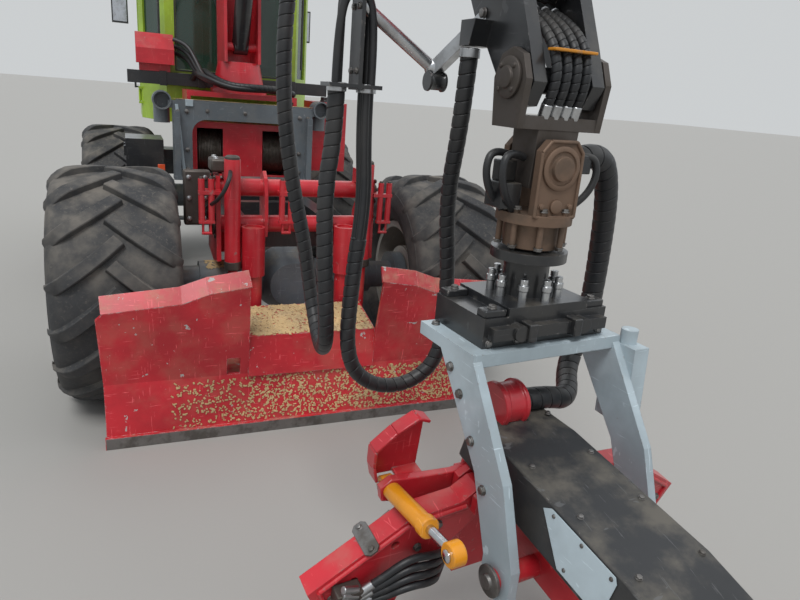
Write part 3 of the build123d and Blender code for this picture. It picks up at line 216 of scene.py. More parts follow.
def metal(name, colour, rough=0.35, grime=0.4, grimy=(0.09, 0.075, 0.06), stretch=(1, 1, 1), metallic=1.0, cast=0.0):
    """Bare metal: brushed, oily or cast."""
    look = Look(name)
    look.colour = look.mix(look.noise(5, 5), tuple(c * 0.8 for c in colour), tuple(min(1, c * 1.15) for c in colour))
    dirty = look.maths("MULTIPLY", look.step(look.noise(14, 7), 0.42, 0.66), grime)
    look.colour = look.mix(dirty, look.colour, grimy)
    grain = look.noise(160, 3, stretch)
    look.rough = look.blend_value(dirty, rough, 0.75)
    look.height = look.maths("ADD", look.maths("MULTIPLY", grain, 0.3), look.maths("MULTIPLY", look.noise(34, 5), cast))
    look.shader.inputs["Metallic"].default_value = metallic
    return look.finish(0.35, 0.002)


def rubber(name, colour, dust=0.35, dirt=(0.27, 0.24, 0.2), rough=0.62, grain=220):
    """Rubber with dust in it."""
    look = Look(name)
    look.colour = look.mix(look.noise(6, 5), tuple(c * 0.75 for c in colour), tuple(c * 1.3 for c in colour))
    specks = look.step(look.noise(60, 8, rough=0.75), 0.5, 0.75)
    clouds = look.step(look.noise(5, 7), 0.4, 0.72)
    up = look.blend_value(look.step(look.facing_up(), -0.2, 0.9), 0.35, 1.0)
    dusty = look.maths("MULTIPLY", look.maths("MULTIPLY", look.maths("MAXIMUM", specks, clouds), up), dust)
    look.colour = look.mix(dusty, look.colour, dirt)
    look.rough = look.blend_value(dusty, rough, 0.92)
    look.height = look.noise(grain, 4)
    return look.finish(0.25, 0.0012, 0.004)


def glass(name, colour, alpha):
    """Tinted window glass, seen through."""
    look = Look(name)
    look.colour = look.mix(look.noise(3, 3), tuple(c * 0.9 for c in colour), colour)
    film = look.step(look.noise(4, 6), 0.45, 0.8)
    look.rough = look.blend_value(film, 0.04, 0.22)
    look.shader.inputs["Alpha"].default_value = alpha
    look.shader.inputs["Specular IOR Level"].default_value = 0.8
    return look.finish()


RED = (0.56, 0.018, 0.03)
GREY = (0.125, 0.145, 0.16)
looks = {
    "tyre": rubber("tyre_look", (0.035, 0.036, 0.038), dust=0.62, rough=0.7, grain=90),
    "rim_paint": paint("rim_look", (0.42, 0.4, 0.36), dust=0.8, chips=0.5),
    "green_paint": paint("green_look", (0.36, 0.55, 0.03), dust=0.35, chips=0.2),
    # Cab glass: a dark, mostly opaque tint that paints the shade inside the cab
    "cab_glass": glass("glass_painted_shade_look", (0.035, 0.075, 0.05), 0.72),
    "grey_paint": paint("grey_look", GREY, rough=0.45, dust=0.6, chips=0.6, bare=(0.3, 0.3, 0.3)),
    "black_paint": paint("black_look", (0.017, 0.018, 0.02), rough=0.32, coat=0.4, dust=0.22, chips=0.2, scratch=0.25),
    "hose_rubber": rubber("hose_look", (0.016, 0.017, 0.019), dust=0.16, rough=0.42),
    "bright_steel": metal("bright_look", (0.62, 0.63, 0.65), rough=0.16, grime=0.2),
    "rope_steel": metal("rope_look", (0.1, 0.09, 0.08), rough=0.5, grime=0.8),
    "cast_grey": metal("cast_look", (0.115, 0.1, 0.09), rough=0.5, grime=0.45, cast=0.6, metallic=0.75),
    "pale_paint": paint("pale_look", (0.42, 0.5, 0.54), rough=0.4, dust=0.22, chips=0.3, dirt=(0.2, 0.18, 0.15)),
    "bare_steel": metal("bare_look", (0.26, 0.25, 0.24), rough=0.42, grime=0.6),
    "red_paint": paint("red_look", RED, rough=0.36, coat=0.3, dust=0.28, chips=0.45),
}
yellow_look = paint("yellow_look", (0.78, 0.3, 0.008), rough=0.35, dust=0.12, chips=0.3)
wood_look = paint("wood_look", (0.62, 0.44, 0.22), rough=0.9, coat=0.0, dust=0.3, chips=0.0, scratch=0.0)
orange_look = paint("orange_look", (0.85, 0.1, 0.02), rough=0.4, dust=0.1, chips=0.1)

silver_look = metal("silver_look", (0.55, 0.56, 0.57), rough=0.28, grime=0.3)
rust_look = metal("rust_look", (0.2, 0.13, 0.09), rough=0.6, grime=0.5, cast=0.7, metallic=0.5)
lamp_look = glass("lamp_look", (0.8, 0.82, 0.85), 1.0)
rope_look = metal("wire_look", (0.16, 0.14, 0.12), rough=0.45, grime=0.7)
blade_look = paint(
    "blade_look", RED, rough=0.42, coat=0.15, chips=1.0, dust=0.75, bare=(0.46, 0.44, 0.42), dirt=(0.4, 0.3, 0.19), scratch=0.9
)
cover_look = paint("cover_look", (0.02, 0.021, 0.023), rough=0.55, coat=0.1, dust=0.3, chips=0.25, scratch=0.5)
# Nodes that look other than the rest of their slot
node_looks = {"log_blade": blade_look, "rotator": rust_look, "lift_barrel": looks["black_paint"]}

for name, node in frame["nodes"].items():
    for spot in node.material_slots:
        spot_look = node_looks.get(name, looks[spot.material.name])
        spot.link = "OBJECT"
        spot.material = spot_look


# Shapes
class Shape:
    """Collects solids of one finish into one mesh."""

    def __init__(self):
        self.mesh = bmesh.new()

    def loops(self, rings, closed=True, capped=True):
        """Skins a row of rings, each with as many points."""
        made = [[self.mesh.verts.new(p) for p in ring] for ring in rings]
        count = len(made[0])
        for low, high in zip(made, made[1:]):
            for i in range(count if closed else count - 1):
                j = (i + 1) % count
                self.mesh.faces.new((low[i], low[j], high[j], high[i]))
        if capped:
            self.mesh.faces.new(list(reversed(made[0])))
            self.mesh.faces.new(made[-1])

    def plate(self, points, thickness, along):
        """A flat plate from its outline, given on its middle, and the direction of its thickness."""
        side = along.normalized() * thickness / 2
        self.loops([[p - side for p in points], [p + side for p in points]])

    def block(self, place, low, high):
        """A box between two corners, given in the coordinates of one of the place functions."""
        (a, b, c), (d, e, f) = low, high
        floor_ring = [place(a, b, c), place(d, b, c), place(d, e, c), place(a, e, c)]
        roof_ring = [place(a, b, f), place(d, b, f), place(d, e, f), place(a, e, f)]
        self.loops([floor_ring, roof_ring])

    def lathe(self, start, along, profile, sides=24, capped=True):
        """A turned piece: profile rows are distance along the axis and radius."""
        along = along.normalized()
        across = along.orthogonal().normalized()
        other = along.cross(across)
        rings = []
        for distance, radius in profile:
            centre = start + along * distance
            rings.append(
                [
                    centre + (across * cos(2 * pi * i / sides) + other * sin(2 * pi * i / sides)) * max(radius, 1e-4)
                    for i in range(sides)
                ]
            )
        self.loops(rings, capped=capped)

    def bar(self, start, end, radius, sides=16, chamfer=0.0):
        """A round bar."""
        run = (end - start).length
        profile = [(0, radius - chamfer), (chamfer, radius), (run - chamfer, radius), (run, radius - chamfer)]
        self.lathe(start, end - start, profile if chamfer else [(0, radius), (run, radius)], sides)

    def bolt(self, at, out, size=0.012):
        """A hexagon bolt's head on its washer."""
        self.lathe(at, out, [(0, size * 1.15), (size * 0.18, size * 1.15)], 16)
        self.lathe(
            at,
            out,
            [(size * 0.18, size), (size * 0.75, size), (size * 0.85, size * 0.82)],
            6,
        )

    def tube(self, route, radius, sides=12):
        """A round tube along closely spaced points."""
        self.loops(tube_rings(route, radius, sides))

    def place(self, name, body, slot, look, bevel=0.0, smooth=40, keep=()):
        """Makes the object and lets it ride on its body."""
        bmesh.ops.recalc_face_normals(self.mesh, faces=self.mesh.faces)
        data = bpy.data.meshes.new(name)
        self.mesh.to_mesh(data)
        self.mesh.free()
        data.shade_smooth()
        data.set_sharp_from_angle(angle=radians(smooth))
        data.materials.append(look)
        made = bpy.data.objects.new(name, data)
        bpy.context.scene.collection.objects.link(made)
        if bevel:
            rounding = made.modifiers.new("bevel", "BEVEL")
            rounding.width = bevel
            rounding.segments = 2
            rounding.limit_method = "ANGLE"
            rounding.angle_limit = radians(40)
            rounding.harden_normals = False
        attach(made, body)
        if keep:
            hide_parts(*keep)
        return made


def tube_rings(route, radius, sides):
    """Rings of a tube that don't twist along its route."""
    rings = []
    across = (route[1] - route[0]).orthogonal().normalized()
    for i, point in enumerate(route):
        along = (route[min(i + 1, len(route) - 1)] - route[max(i - 1, 0)]).normalized()
        across = (across - along * across.dot(along)).normalized()
        other = along.cross(across)
        rings.append([point + (across * cos(2 * pi * k / sides) + other * sin(2 * pi * k / sides)) * radius for k in range(sides)])
    return rings


def smooth_route(points, steps=14):
    """Points along the smooth curve that a few control points steer."""
    data = bpy.data.curves.new("route", "CURVE")
    data.dimensions = "3D"
    line = data.splines.new("NURBS")
    line.points.add(len(points) - 1)
    for target, point in zip(line.points, points):
        target.co = (*point, 1)
    line.order_u = 3
    line.use_endpoint_u = True
    line.resolution_u = steps
    carrier = bpy.data.objects.new("route", data)
    bpy.context.scene.collection.objects.link(carrier)
    bpy.context.view_layer.update()
    mesh = bpy.data.meshes.new_from_object(carrier.evaluated_get(bpy.context.evaluated_depsgraph_get()))
    route = [v.co.copy() for v in mesh.vertices]
    bpy.data.objects.remove(carrier)
    bpy.data.meshes.remove(mesh)
    return route


def run_length(route):
    """Length of a row of points."""
    return sum((b - a).length for a, b in zip(route, route[1:]))


def walker(route):
    """A function from a distance along the route to its point, direction and two cross directions."""
    marks = [0.0]
    for a, b in zip(route, route[1:]):
        marks.append(marks[-1] + (b - a).length)
    frames = []
    across = (route[1] - route[0]).orthogonal().normalized()
    for i in range(len(route)):
        along = (route[min(i + 1, len(route) - 1)] - route[max(i - 1, 0)]).normalized()
        across = (across - along * across.dot(along)).normalized()
        frames.append((along, across, along.cross(across)))

    def at(distance):
        distance = min(max(distance, 0.0), marks[-1])
        i = 0
        low, high = 0, len(marks) - 1
        while high - low > 1:
            i = (low + high) // 2
            if marks[i] <= distance:
                low = i
            else:
                high = i
        share = (distance - marks[low]) / max(marks[high] - marks[low], 1e-9)
        point = route[low].lerp(route[high], share)
        along, across, other = [a.lerp(b, share).normalized() for a, b in zip(frames[low], frames[high])]
        return point, along, across, other

    return at, marks[-1]


def spiral_guard(shape, route, start, end, radius, pitch, sides=26):
    """Hose bundle in a spiral guard: the groove between its turns runs round as a helix."""
    at, total = walker(route)
    turn_profile = [(0.0, -0.0038), (0.035, -0.0038), (0.07, -0.0006), (0.3, 0.0), (0.7, 0.0), (0.97, -0.0008)]
    per_turn = len(turn_profile)
    turns = int((end - start) / pitch) + 2
    rows = []
    for turn_index in range(turns):
        for share, rise in turn_profile:
            here = start + (turn_index - 1 + share) * pitch
            row = []
            for k in range(sides):
                distance = min(max(here + pitch * k / sides, start), end)
                point, along, across, other = at(distance)
                angle = 2 * pi * k / sides
                row.append(shape.mesh.verts.new(point + (across * cos(angle) + other * sin(angle)) * (radius + rise)))
            rows.append(row)
    for i in range(len(rows) - 1):
        for k in range(sides - 1):
            shape.mesh.faces.new((rows[i][k], rows[i][k + 1], rows[i + 1][k + 1], rows[i + 1][k]))
        if i + per_turn + 1 < len(rows):
            shape.mesh.faces.new((rows[i][-1], rows[i + per_turn][0], rows[i + per_turn + 1][0], rows[i + 1][-1]))
    bmesh.ops.remove_doubles(shape.mesh, verts=shape.mesh.verts, dist=0.00005)
    for distance in (start, end):
        point, along, across, other = at(distance)
        lip = [(-0.001, radius - 0.004), (0.001, radius - 0.004)]
        shape.lathe(point, along, lip, sides)


def strands(shape, route, start, end, offsets, radius, sides=12, step=0.02):
    """Plain hoses side by side along a route: each row of offsets is the share along the run and the two cross shifts."""
    at, total = walker(route)
    count = max(2, int((end - start) / step))
    for shifts in offsets:
        line = []
        for i in range(count + 1):
            share = i / count
            point, along, across, other = at(start + (end - start) * share)
            (a0, b0), (a1, b1) = shifts
            line.append(point + across * (a0 + (a1 - a0) * share) + other * (b0 + (b1 - b0) * share))
        shape.tube(line, radius, sides)


# Hanging hose bundles between the boom's tip and the head
bundle_radius = 0.027
guard_pitch = 0.039
boom_loop = [
    machine(-0.011, -1.335, 3.342),
    machine(-0.007, -1.426, 3.210),
    machine(-0.110, -1.480, 2.970),
    machine(-0.280, -1.540, 2.600),
    machine(-0.375, -1.580, 2.200),
    machine(-0.395, -1.600, 1.860),
    machine(-0.362, -1.600, 1.560),
    machine(-0.297, -1.600, 1.280),
    machine(-0.262, -1.600, 1.050),
    machine(-0.262, -1.710, 0.943),
    machine(-0.284, -1.864, 0.943),
    machine(-0.305, -1.974, 1.050),
    machine(-0.324, -1.974, 1.290),
    machine(-0.330, -1.962, 1.540),
    machine(-0.305, -1.955, 1.710),
    machine(-0.305, -1.955, 1.8497),
]
link_loop = [
    machine(-0.210, -1.955, 1.8497),
    machine(-0.210, -1.955, 1.720),
    machine(-0.196, -1.965, 1.500),
    machine(-0.225, -1.965, 1.230),
    machine(-0.232, -1.965, 0.942),
    machine(-0.122, -1.965, 0.833),
    machine(0.032, -1.965, 0.833),
    machine(0.142, -1.965, 0.942),
    machine(0.136, -1.965, 1.240),
    machine(0.088, -1.985, 1.520),
    machine(0.058, -2.095, 1.780),
    machine(0.053, -2.112, 1.9897),
]
fanned = 0.0145
trefoil = [(fanned * cos(radians(a)), fanned * sin(radians(a))) for a in (90, 210, 330)]
plain_hose = 0.0125
for name, points, wrapped_from, wrapped_to in (
    ("hose_boom_bundle", boom_loop, 0.95, 3.75),
    ("hose_link_bundle", link_loop, 0.47, 9.0),
):
    route = smooth_route(points)
    length = run_length(route)
    bundle = Shape()
    wrapped_to = min(wrapped_to, length)
    spiral_guard(bundle, route, wrapped_from, wrapped_to, bundle_radius, guard_pitch)
    for start, end in ((0.0, wrapped_from + 0.01), (wrapped_to - 0.01, length)):
        if end - start > 0.03:
            strands(bundle, route, start, end, [(p, p) for p in trefoil], plain_hose)
    made = bundle.place(name, "extension", "hose_rubber", looks["hose_rubber"], smooth=50, keep=[name[:-7]])
    [tuple(p) for p in route]


# Tyres: a round carcass with bent lugs where the solid has straight ones
wheel_radius = 0.670
lug_count = 16
lug_lean = radians(38)
side_profile = [
    (0.230, 0.3375),
    (0.2315, 0.3620),
    (0.2450, 0.3640),
    (0.2800, 0.3920),
    (0.3000, 0.4200),
    (0.3050, 0.4230),
    (0.3090, 0.4400),
    (0.3180, 0.4650),
    (0.3205, 0.4680),
    (0.3245, 0.4950),
    (0.3225, 0.5350),
    (0.3160, 0.5700),
    (0.3130, 0.5720),
    (0.3050, 0.5980),
    (0.2850, 0.6180),
    (0.2400, 0.6300),
    (0.1500, 0.6360),
]
tyre_rows = [(-x, r) for x, r in side_profile] + [(x, r) for x, r in reversed(side_profile)]
tyre_rows.append((-0.230, 0.3375))
# Distance from the tyre's middle, top radius and base radius
lug_rows = [
    (-0.020, 0.668, 0.620),
    (0.030, 0.670, 0.620),
    (0.080, 0.670, 0.618),
    (0.130, 0.670, 0.616),
    (0.180, 0.670, 0.612),
    (0.220, 0.667, 0.606),
    (0.255, 0.653, 0.598),
    (0.285, 0.630, 0.585),
    (0.306, 0.602, 0.570),
    (0.318, 0.568, 0.545),
]
for place_name in ("rear_left", "rear_right", "front_left", "front_right"):
    centre = joint_at[f"wheel_{place_name}_spin"]
    tyre = Shape()
    tyre.lathe(centre, RIGHT, tyre_rows, 112, capped=False)
    for number in range(2 * lug_count):
        turn = pi * number / lug_count
        outward = 1 if number % 2 == 0 else -1
        rings = []
        for index, (x, top, base) in enumerate(lug_rows):
            share = (x + 0.02) / 0.338
            shift = -0.0156 + 0.262 * (1.28 * share - 0.28 * share * share)
            lean = lug_lean * (1.2 - 0.45 * share)
            half_base, half_top = 0.043, 0.032
            ring = []
            for off, radius in (
                (-half_base, base),
                (-half_top - 0.001, top - 0.004),
                (-half_top + 0.004, top),
                (half_top - 0.004, top),
                (half_top + 0.001, top - 0.004),
                (half_base, base),
            ):
                across_x = min(x - sin(lean) * off, 0.3265)
                angle = turn + (shift + cos(lean) * off) / 0.66
                ring.append(centre + Vector((outward * across_x, radius * cos(angle), radius * sin(angle))))
            rings.append(ring)
        tyre.loops(rings)
    tyre.place(f"tyre_tread_{place_name}", f"wheel_{place_name}", "tyre", looks["tyre"], smooth=35, keep=[f"tyre_{place_name}"])
    nuts = Shape()
    outward = RIGHT if centre.x > 0 else -RIGHT
    disc_face = centre + outward * 0.073
    for number in range(10):
        turn = 2 * pi * number / 10
        nuts.bolt(disc_face + Vector((0, cos(turn), sin(turn))) * 0.245, outward, 0.019)
    nuts.place(f"nuts_{place_name}", f"wheel_{place_name}", "bare_steel", looks["bare_steel"])


def chips(shape, spot, count, size=0.012):
    """Flat wood chips strewn where the function gives a point and the direction that they lie against."""
    for number in range(count):
        point, normal = spot(random.random(), random.random())
        across = normal.orthogonal().normalized()
        turn = random.random() * 2 * pi
        one = across * cos(turn) + normal.cross(across) * sin(turn)
        tilted = (normal + across * random.uniform(-0.35, 0.35)).normalized()
        other = tilted.cross(one).normalized()
        one, other = one * size * random.uniform(0.4, 1.3), other * size * random.uniform(0.2, 0.7)
        low = point + normal * 0.0006
        corners = [low - one - other, low + one - other, low + one + other, low - one + other]
        shape.loops([corners, [c + normal * 0.0022 for c in corners]])


def shelf_spot(a, b):
    """On the sloping shelf between the blade's wings."""
    y = -0.712 + 0.29 * b
    return machine(-0.34 + 0.68 * a, y, 0.5605 + (y + 0.716) * 0.216), Vector((0, -0.2, 0.98))


def plate_spot(a, b):
    """On the blade's lower plate, thickest towards the right half and the bottom."""
    z = 0.07 + 0.25 * b
    return machine(-0.75 + 1.7 * a ** 0.8, -0.7305 + 0.028 * z / 0.35, z), Vector((0, -1, 0.08)).normalized()


def axle_spot(a, b):
    """On top of the rear axle tube."""
    turn = (a - 0.5) * 1.3
    x = -0.5 + 0.36 * b
    return machine(x, 0.115 * sin(turn), wheel_radius + 0.115 * cos(turn)), Vector((0, sin(turn), cos(turn)))


sawdust = Shape()
chips(sawdust, shelf_spot, 2600, 0.011)
chips(sawdust, plate_spot, 1700, 0.008)
sawdust.place("sawdust_blade", "blade", "wood", wood_look, smooth=10)
sawdust = Shape()
chips(sawdust, axle_spot, 500, 0.011)
chips(sawdust, lambda a, b: (machine(-0.56 + 1.12 * a, 1.662 + 0.035 * b, 1.6702), UP), 420, 0.009)
sawdust.place("sawdust_frame", "root", "wood", wood_look, smooth=10)

# Blade: bare cutting edge
edge = Shape()
edge.loops(
    [
        [machine(x, -0.7492, 0.001), machine(x, -0.7432, 0.058), machine(x, -0.7412, 0.058), machine(x, -0.7472, 0.001)]
        for x in (-1.073, 1.073)
    ]
)
edge.place("cutting_edge", "blade", "bare_steel", looks["bare_steel"])

# Winch ropes wound on the drums
for place_name, outward in (("left", -1), ("right", 1)):
    rope = Shape()
    middle = joint_at[f"drum_{place_name}_spin"]
    for layer, (radius, shift) in enumerate(((0.1705, 0.0), (0.1795, 0.0062))):
        for number in range(16 - layer):
            x = outward * (0.1745 + 0.0125 * number + shift)
            centre = Vector((x, middle.y, middle.z))
            ring_rows = [
                (0.0062 * cos(2 * pi * k / 8), radius + 0.0062 * sin(2 * pi * k / 8)) for k in range(9)
            ]
            rope.lathe(centre, RIGHT, ring_rows, 40, capped=False)
    rope.place(f"rope_{place_name}", f"drum_{place_name}", "rope_steel", rope_look)

# Winch frame: bolts, brackets and the slanting strut
fittings = Shape()
for x in (-0.53, -0.46, 0.46, 0.53):
    for z in (1.12, 1.28, 1.58):
        fittings.bolt(machine(x, 1.6595, z), -AHEAD, 0.016)
for x in (-0.3, 0.0, 0.3):
    fittings.bolt(machine(x, 1.6595, 1.59), -AHEAD, 0.014)
fittings.place("portal_bolts", "root", "bare_steel", looks["bare_steel"])
strut = Shape()
strut.plate(
    [machine(-0.548, 1.652, 1.63), machine(-0.525, 1.652, 1.63), machine(-0.478, 1.652, 1.12), machine(-0.505, 1.652, 1.12)],
    0.012,
    AHEAD,
)
strut.plate(
    [machine(-0.47, 1.655, 1.672), machine(-0.41, 1.655, 1.672), machine(-0.41, 1.655, 1.62), machine(-0.47, 1.655, 1.62)],
    0.02,
    AHEAD,
)
strut.place("portal_strut", "root", "pale_paint", looks["pale_paint"], bevel=0.002)
marker = Shape()
marker.block(machine, (-0.69, 1.690, 1.05), (-0.635, 1.705, 1.15))
marker.place("marker", "root", "orange", orange_look, bevel=0.003)

# Rope rollers get end bolts, the tower its pins and the cylinders their caps
trim = Shape()
for x in (-0.52, -0.08, 0.515):
    for step in (-0.026, 0.026):
        trim.bolt(machine(x + step, -0.315, 1.3302), UP, 0.011)
for outward in (-1, 1):
    trim.lathe(machine(outward * 0.385, -0.335, 1.440), UP, [(0, 0.04), (0.012, 0.04), (0.02, 0.03), (0.022, 0.012)], 24)
    trim.lathe(machine(outward * 0.385, -0.335, 0.822), UP, [(0, 0.036), (0.008, 0.048), (0.05, 0.048), (0.052, 0.044)], 24)
    for z in (1.06, 1.27):
        trim.lathe(machine(outward * 0.466, -0.200, z), RIGHT * outward, [(0, 0.06), (0.012, 0.06), (0.012, 0.03), (0.03, 0.03)], 24)
        for number in range(4):
            turn = pi / 4 + pi * number / 2
            at = machine(outward * 0.4665, -0.2 + 0.085 * cos(turn), z + 0.085 * sin(turn))
            trim.bolt(at, RIGHT * outward, 0.012)
trim.place("tower_trim", "root", "cast_grey", looks["cast_grey"], bevel=0.0)
bracket = Shape()
bracket.block(machine, (-0.49, -0.27, 1.36), (-0.33, -0.12, 1.43))
bracket.block(machine, (-0.62, -0.06, 1.02), (-0.47, 0.0, 1.34))
bracket.place("cast_bracket", "root", "cast_grey", looks["cast_grey"], bevel=0.012)
bolts = Shape()
for x in (-0.46, -0.36):
    for y in (-0.24, -0.15):
        bolts.bolt(machine(x, y, 1.43), UP, 0.013)
for z in (1.06, 1.18, 1.30):
    for x in (-0.59, -0.5):
        bolts.bolt(machine(x, -0.06, z), -AHEAD, 0.012)
bolts.place("cast_bolts", "root", "silver", silver_look)


def fixed_hose(name, points, radius, body, look, slot, wrap=0.0):
    """A hose between two fittings that don't move against each other, with a guard round it where wrap gives its pitch."""
    route = smooth_route(points, 10)
    length = run_length(route)
    shape = Shape()
    if wrap:
        spiral_guard(shape, route, 0.0, length, radius, wrap, 20)
    else:
        shape.tube(route, radius, 12)
    made = shape.place(name, body, slot, look, smooth=50)
    tuple(points[0])
    [tuple(p) for p in route]
    return made


# Hoses on the blade tower and round the column's foot
hose_look = looks["hose_rubber"]
fixed_hose(
    "hose_tower_left",
    [machine(-0.40, -0.365, 1.38), machine(-0.41, -0.45, 1.36), machine(-0.46, -0.43, 1.24), machine(-0.52, -0.25, 1.16), machine(-0.50, -0.10, 1.10), machine(-0.475, -0.02, 1.05)],
    0.011,
    "root",
    hose_look,
    "hose_rubber",
)
for number, (x, z, r, low) in enumerate(((-0.515, 2.13, 0.30, 1.775), (-0.515, 2.08, 0.34, 1.78), (-0.515, 2.03, 0.38, 1.785))):
    fixed_hose(
        f"hose_valve_{number + 1}",
        [
            machine(x, 2.17 + 0.05 * number, z),
            machine(x + 0.10, 2.12 + 0.05 * number, z - 0.02),
            machine(x + 0.17, 2.02, z - 0.16),
            machine(-0.30 - 0.03 * number, 1.90 - 0.03 * number, 1.84 + 0.02 * number),
            machine(-0.14, 1.72 - 0.035 * number, low),
            machine(0.06, 1.69 - 0.035 * number, low),
            machine(0.24, 1.76 - 0.03 * number, low + 0.005),
            machine(0.40, 1.80 - 0.02 * number, low - 0.015),
        ],
        0.017,
        "root",
        hose_look,
        "hose_rubber",
    )
for number, (x, z) in enumerate(((-0.36, 1.86), (-0.30, 1.88))):
    fixed_hose(
        f"hose_column_{number + 1}",
        [
            machine(x, 2.245, z - 0.03),
            machine(x + 0.02, 2.16, z + 0.03),
            machine(x + 0.03, 1.95 - 0.04 * number, z),
            machine(x + 0.16, 1.715 - 0.045 * number, 1.80),
            machine(0.10, 1.67 - 0.045 * number, 1.80),
            machine(0.30, 1.74 - 0.045 * number, 1.80),
            machine(0.43, 1.79, 1.765),
        ],
        0.026,
        "root",
        hose_look,
        "hose_rubber",
        wrap=0.036,
    )

# Boom tip: four hoses through the fork down to the link, with bright fittings and a yellow tie
silver = Shape()
for number, w in enumerate((-0.054, -0.018, 0.018, 0.054)):
    fixed_hose(
        f"hose_fork_{number + 1}",
        [crane(4.195, 2.105, w), crane(4.29, 2.07, w * 1.05), crane(4.385, 1.99, w), crane(4.405, 1.90, w * 0.9), crane(4.375, 1.846, w * 0.95)],
        0.0145,
        "extension",
        hose_look,
        "hose_rubber",
        wrap=0.022,
    )
    silver.bar(crane(4.378, 1.850, w * 0.95), crane(4.366, 1.812, w * 0.95), 0.017, 12, 0.002)
    silver.bar(crane(4.17, 2.115, w), crane(4.215, 2.098, w), 0.018, 12, 0.002)
silver.place("fork_fittings", "extension", "silver", silver_look)
tie = Shape()
tie.block(crane, (4.372, 1.985, -0.072), (4.408, 1.993, 0.072))
tie.place("fork_tie", "extension", "yellow", yellow_look, bevel=0.002)

# Link: pin caps, ribs and grease points
caps = Shape()
for outward in (-1, 1):
    face = crane(4.320, 1.910, outward * 0.1475)
    direction = crane_left * outward
    caps.lathe(face, direction, [(-0.002, 0.056), (0.006, 0.056), (0.009, 0.05), (0.009, 0.03), (0.016, 0.028), (0.017, 0.02)], 32)
    for number in range(4):
        turn = pi / 4 + number * pi / 2
        caps.bolt(face + (crane_out * cos(turn) + UP * sin(turn)) * 0.043 + direction * 0.008, direction, 0.007)
caps.place("pin_caps", "tip_link", "cast_grey", looks["cast_grey"], bevel=0.001)
cover = Shape()
front = crane(4.412, 1.680)
cover.lathe(front, crane_out, [(0, 0.062), (0.007, 0.062), (0.010, 0.057), (0.010, 0.048), (0.006, 0.046), (0.006, 0.036), (0.018, 0.034), (0.019, 0.026)], 40)
outline_points = [(-0.072, 0.725), (-0.072, 0.6), (0, 0), (0, 0)]
rim_points = [(0.070, -0.138), (0.070, 0.042), (0.044, 0.073), (-0.044, 0.073), (-0.070, 0.042), (-0.070, -0.138)]
for (w0, z0), (w1, z1) in zip(rim_points, rim_points[1:] + rim_points[:1]):
    cover.bar(crane(4.4135, 1.680 + z0, w0), crane(4.4135, 1.680 + z1, w1), 0.0055, 10)
cover.lathe(crane(4.412, 1.572, 0.0), crane_out, [(0, 0.02), (0.007, 0.02), (0.009, 0.014)], 24)
for w in (-0.05, 0.05):
    cover.bolt(crane(4.412, 1.572, w), crane_out, 0.009)
cover.place("rotator_cover", "rotator", "rust", rust_look, bevel=0.001)
nuts = Shape()
for number in range(8):
    turn = radians(45 * number + 22.5)
    for z, out in ((1.5560, UP), (1.4520, -UP)):
        nuts.bolt(crane(4.320 + 0.099 * cos(turn), z, 0.099 * sin(turn)), out, 0.0125)
nuts.place("rotator_nuts", "rotator", "bare_steel", looks["bare_steel"])
for number, (near, far) in enumerate((((0.118, 4.36), (0.1, 4.34)), ((0.132, 4.31), (0.112, 4.30)), ((-0.118, 4.35), (-0.1, 4.34)))):
    fixed_hose(
        f"hose_rotator_{number + 1}",
        [
            crane(near[1] - 0.015, 1.700, near[0] * 0.7),
            crane(near[1] + 0.01, 1.725, near[0] * 1.3),
            crane(near[1] + 0.02, 1.66, near[0] * 1.5),
            crane(near[1] + 0.01, 1.58, near[0] * 1.2),
            crane(far[1], 1.545, far[0] * 0.9),
        ],
        0.011,
        "rotator",
        hose_look,
        "hose_rubber",
    )
side_box = Shape()
side_box.block(crane, (4.27, 1.555, 0.085), (4.36, 1.63, 0.15))
side_box.block(crane, (4.28, 1.63, 0.09), (4.33, 1.69, 0.14))
side_box.block(crane, (4.285, 1.66, -0.150), (4.365, 1.715, -0.085))
side_box.place("rotator_valve", "rotator", "black_paint", looks["black_paint"], bevel=0.004)

# Coupler: fittings round the neck, clamps and bolts
ring = Shape()
for number in range(9):
    turn = radians(40 * number)
    at = tool(0.103 * cos(turn), 1.2898, 0.103 * sin(turn))
    ring.lathe(at, UP, [(-0.03, 0.013), (0.03, 0.013), (0.032, 0.016), (0.048, 0.016), (0.05, 0.012), (0.066, 0.012), (0.068, 0.008)], 12)
ring.place("coupler_fittings", "rotor", "silver", silver_look)
clamp = Shape()
for outward in (-1, 1):
    for r in (-0.10, 0.10):
        low, high = sorted((outward * 0.15, outward * 0.225))
        clamp.block(tool, (r - 0.022, 1.262, low), (r + 0.022, 1.285, high))
    clamp.block(tool, (-0.175, 1.195, min(outward * 0.07, outward * 0.1)), (0.175, 1.25, max(outward * 0.07, outward * 0.1)))
clamp.place("coupler_clamps", "rotor", "black_paint", looks["black_paint"], bevel=0.004)
screws = Shape()
for outward in (-1, 1):
    for r in (-0.10, 0.10):
        screws.bolt(tool(r, 1.285, outward * 0.188), UP, 0.012)
    for r in (0.165,):
        for w in (0.07, 0.17):
            screws.bolt(tool(0.130, 1.19, outward * (w + 0.04)), tool_out, 0.010)
            screws.bolt(tool(-0.130, 1.19, outward * (w + 0.04)), -tool_out, 0.010)
screws.place("coupler_bolts", "rotor", "bare_steel", looks["bare_steel"])
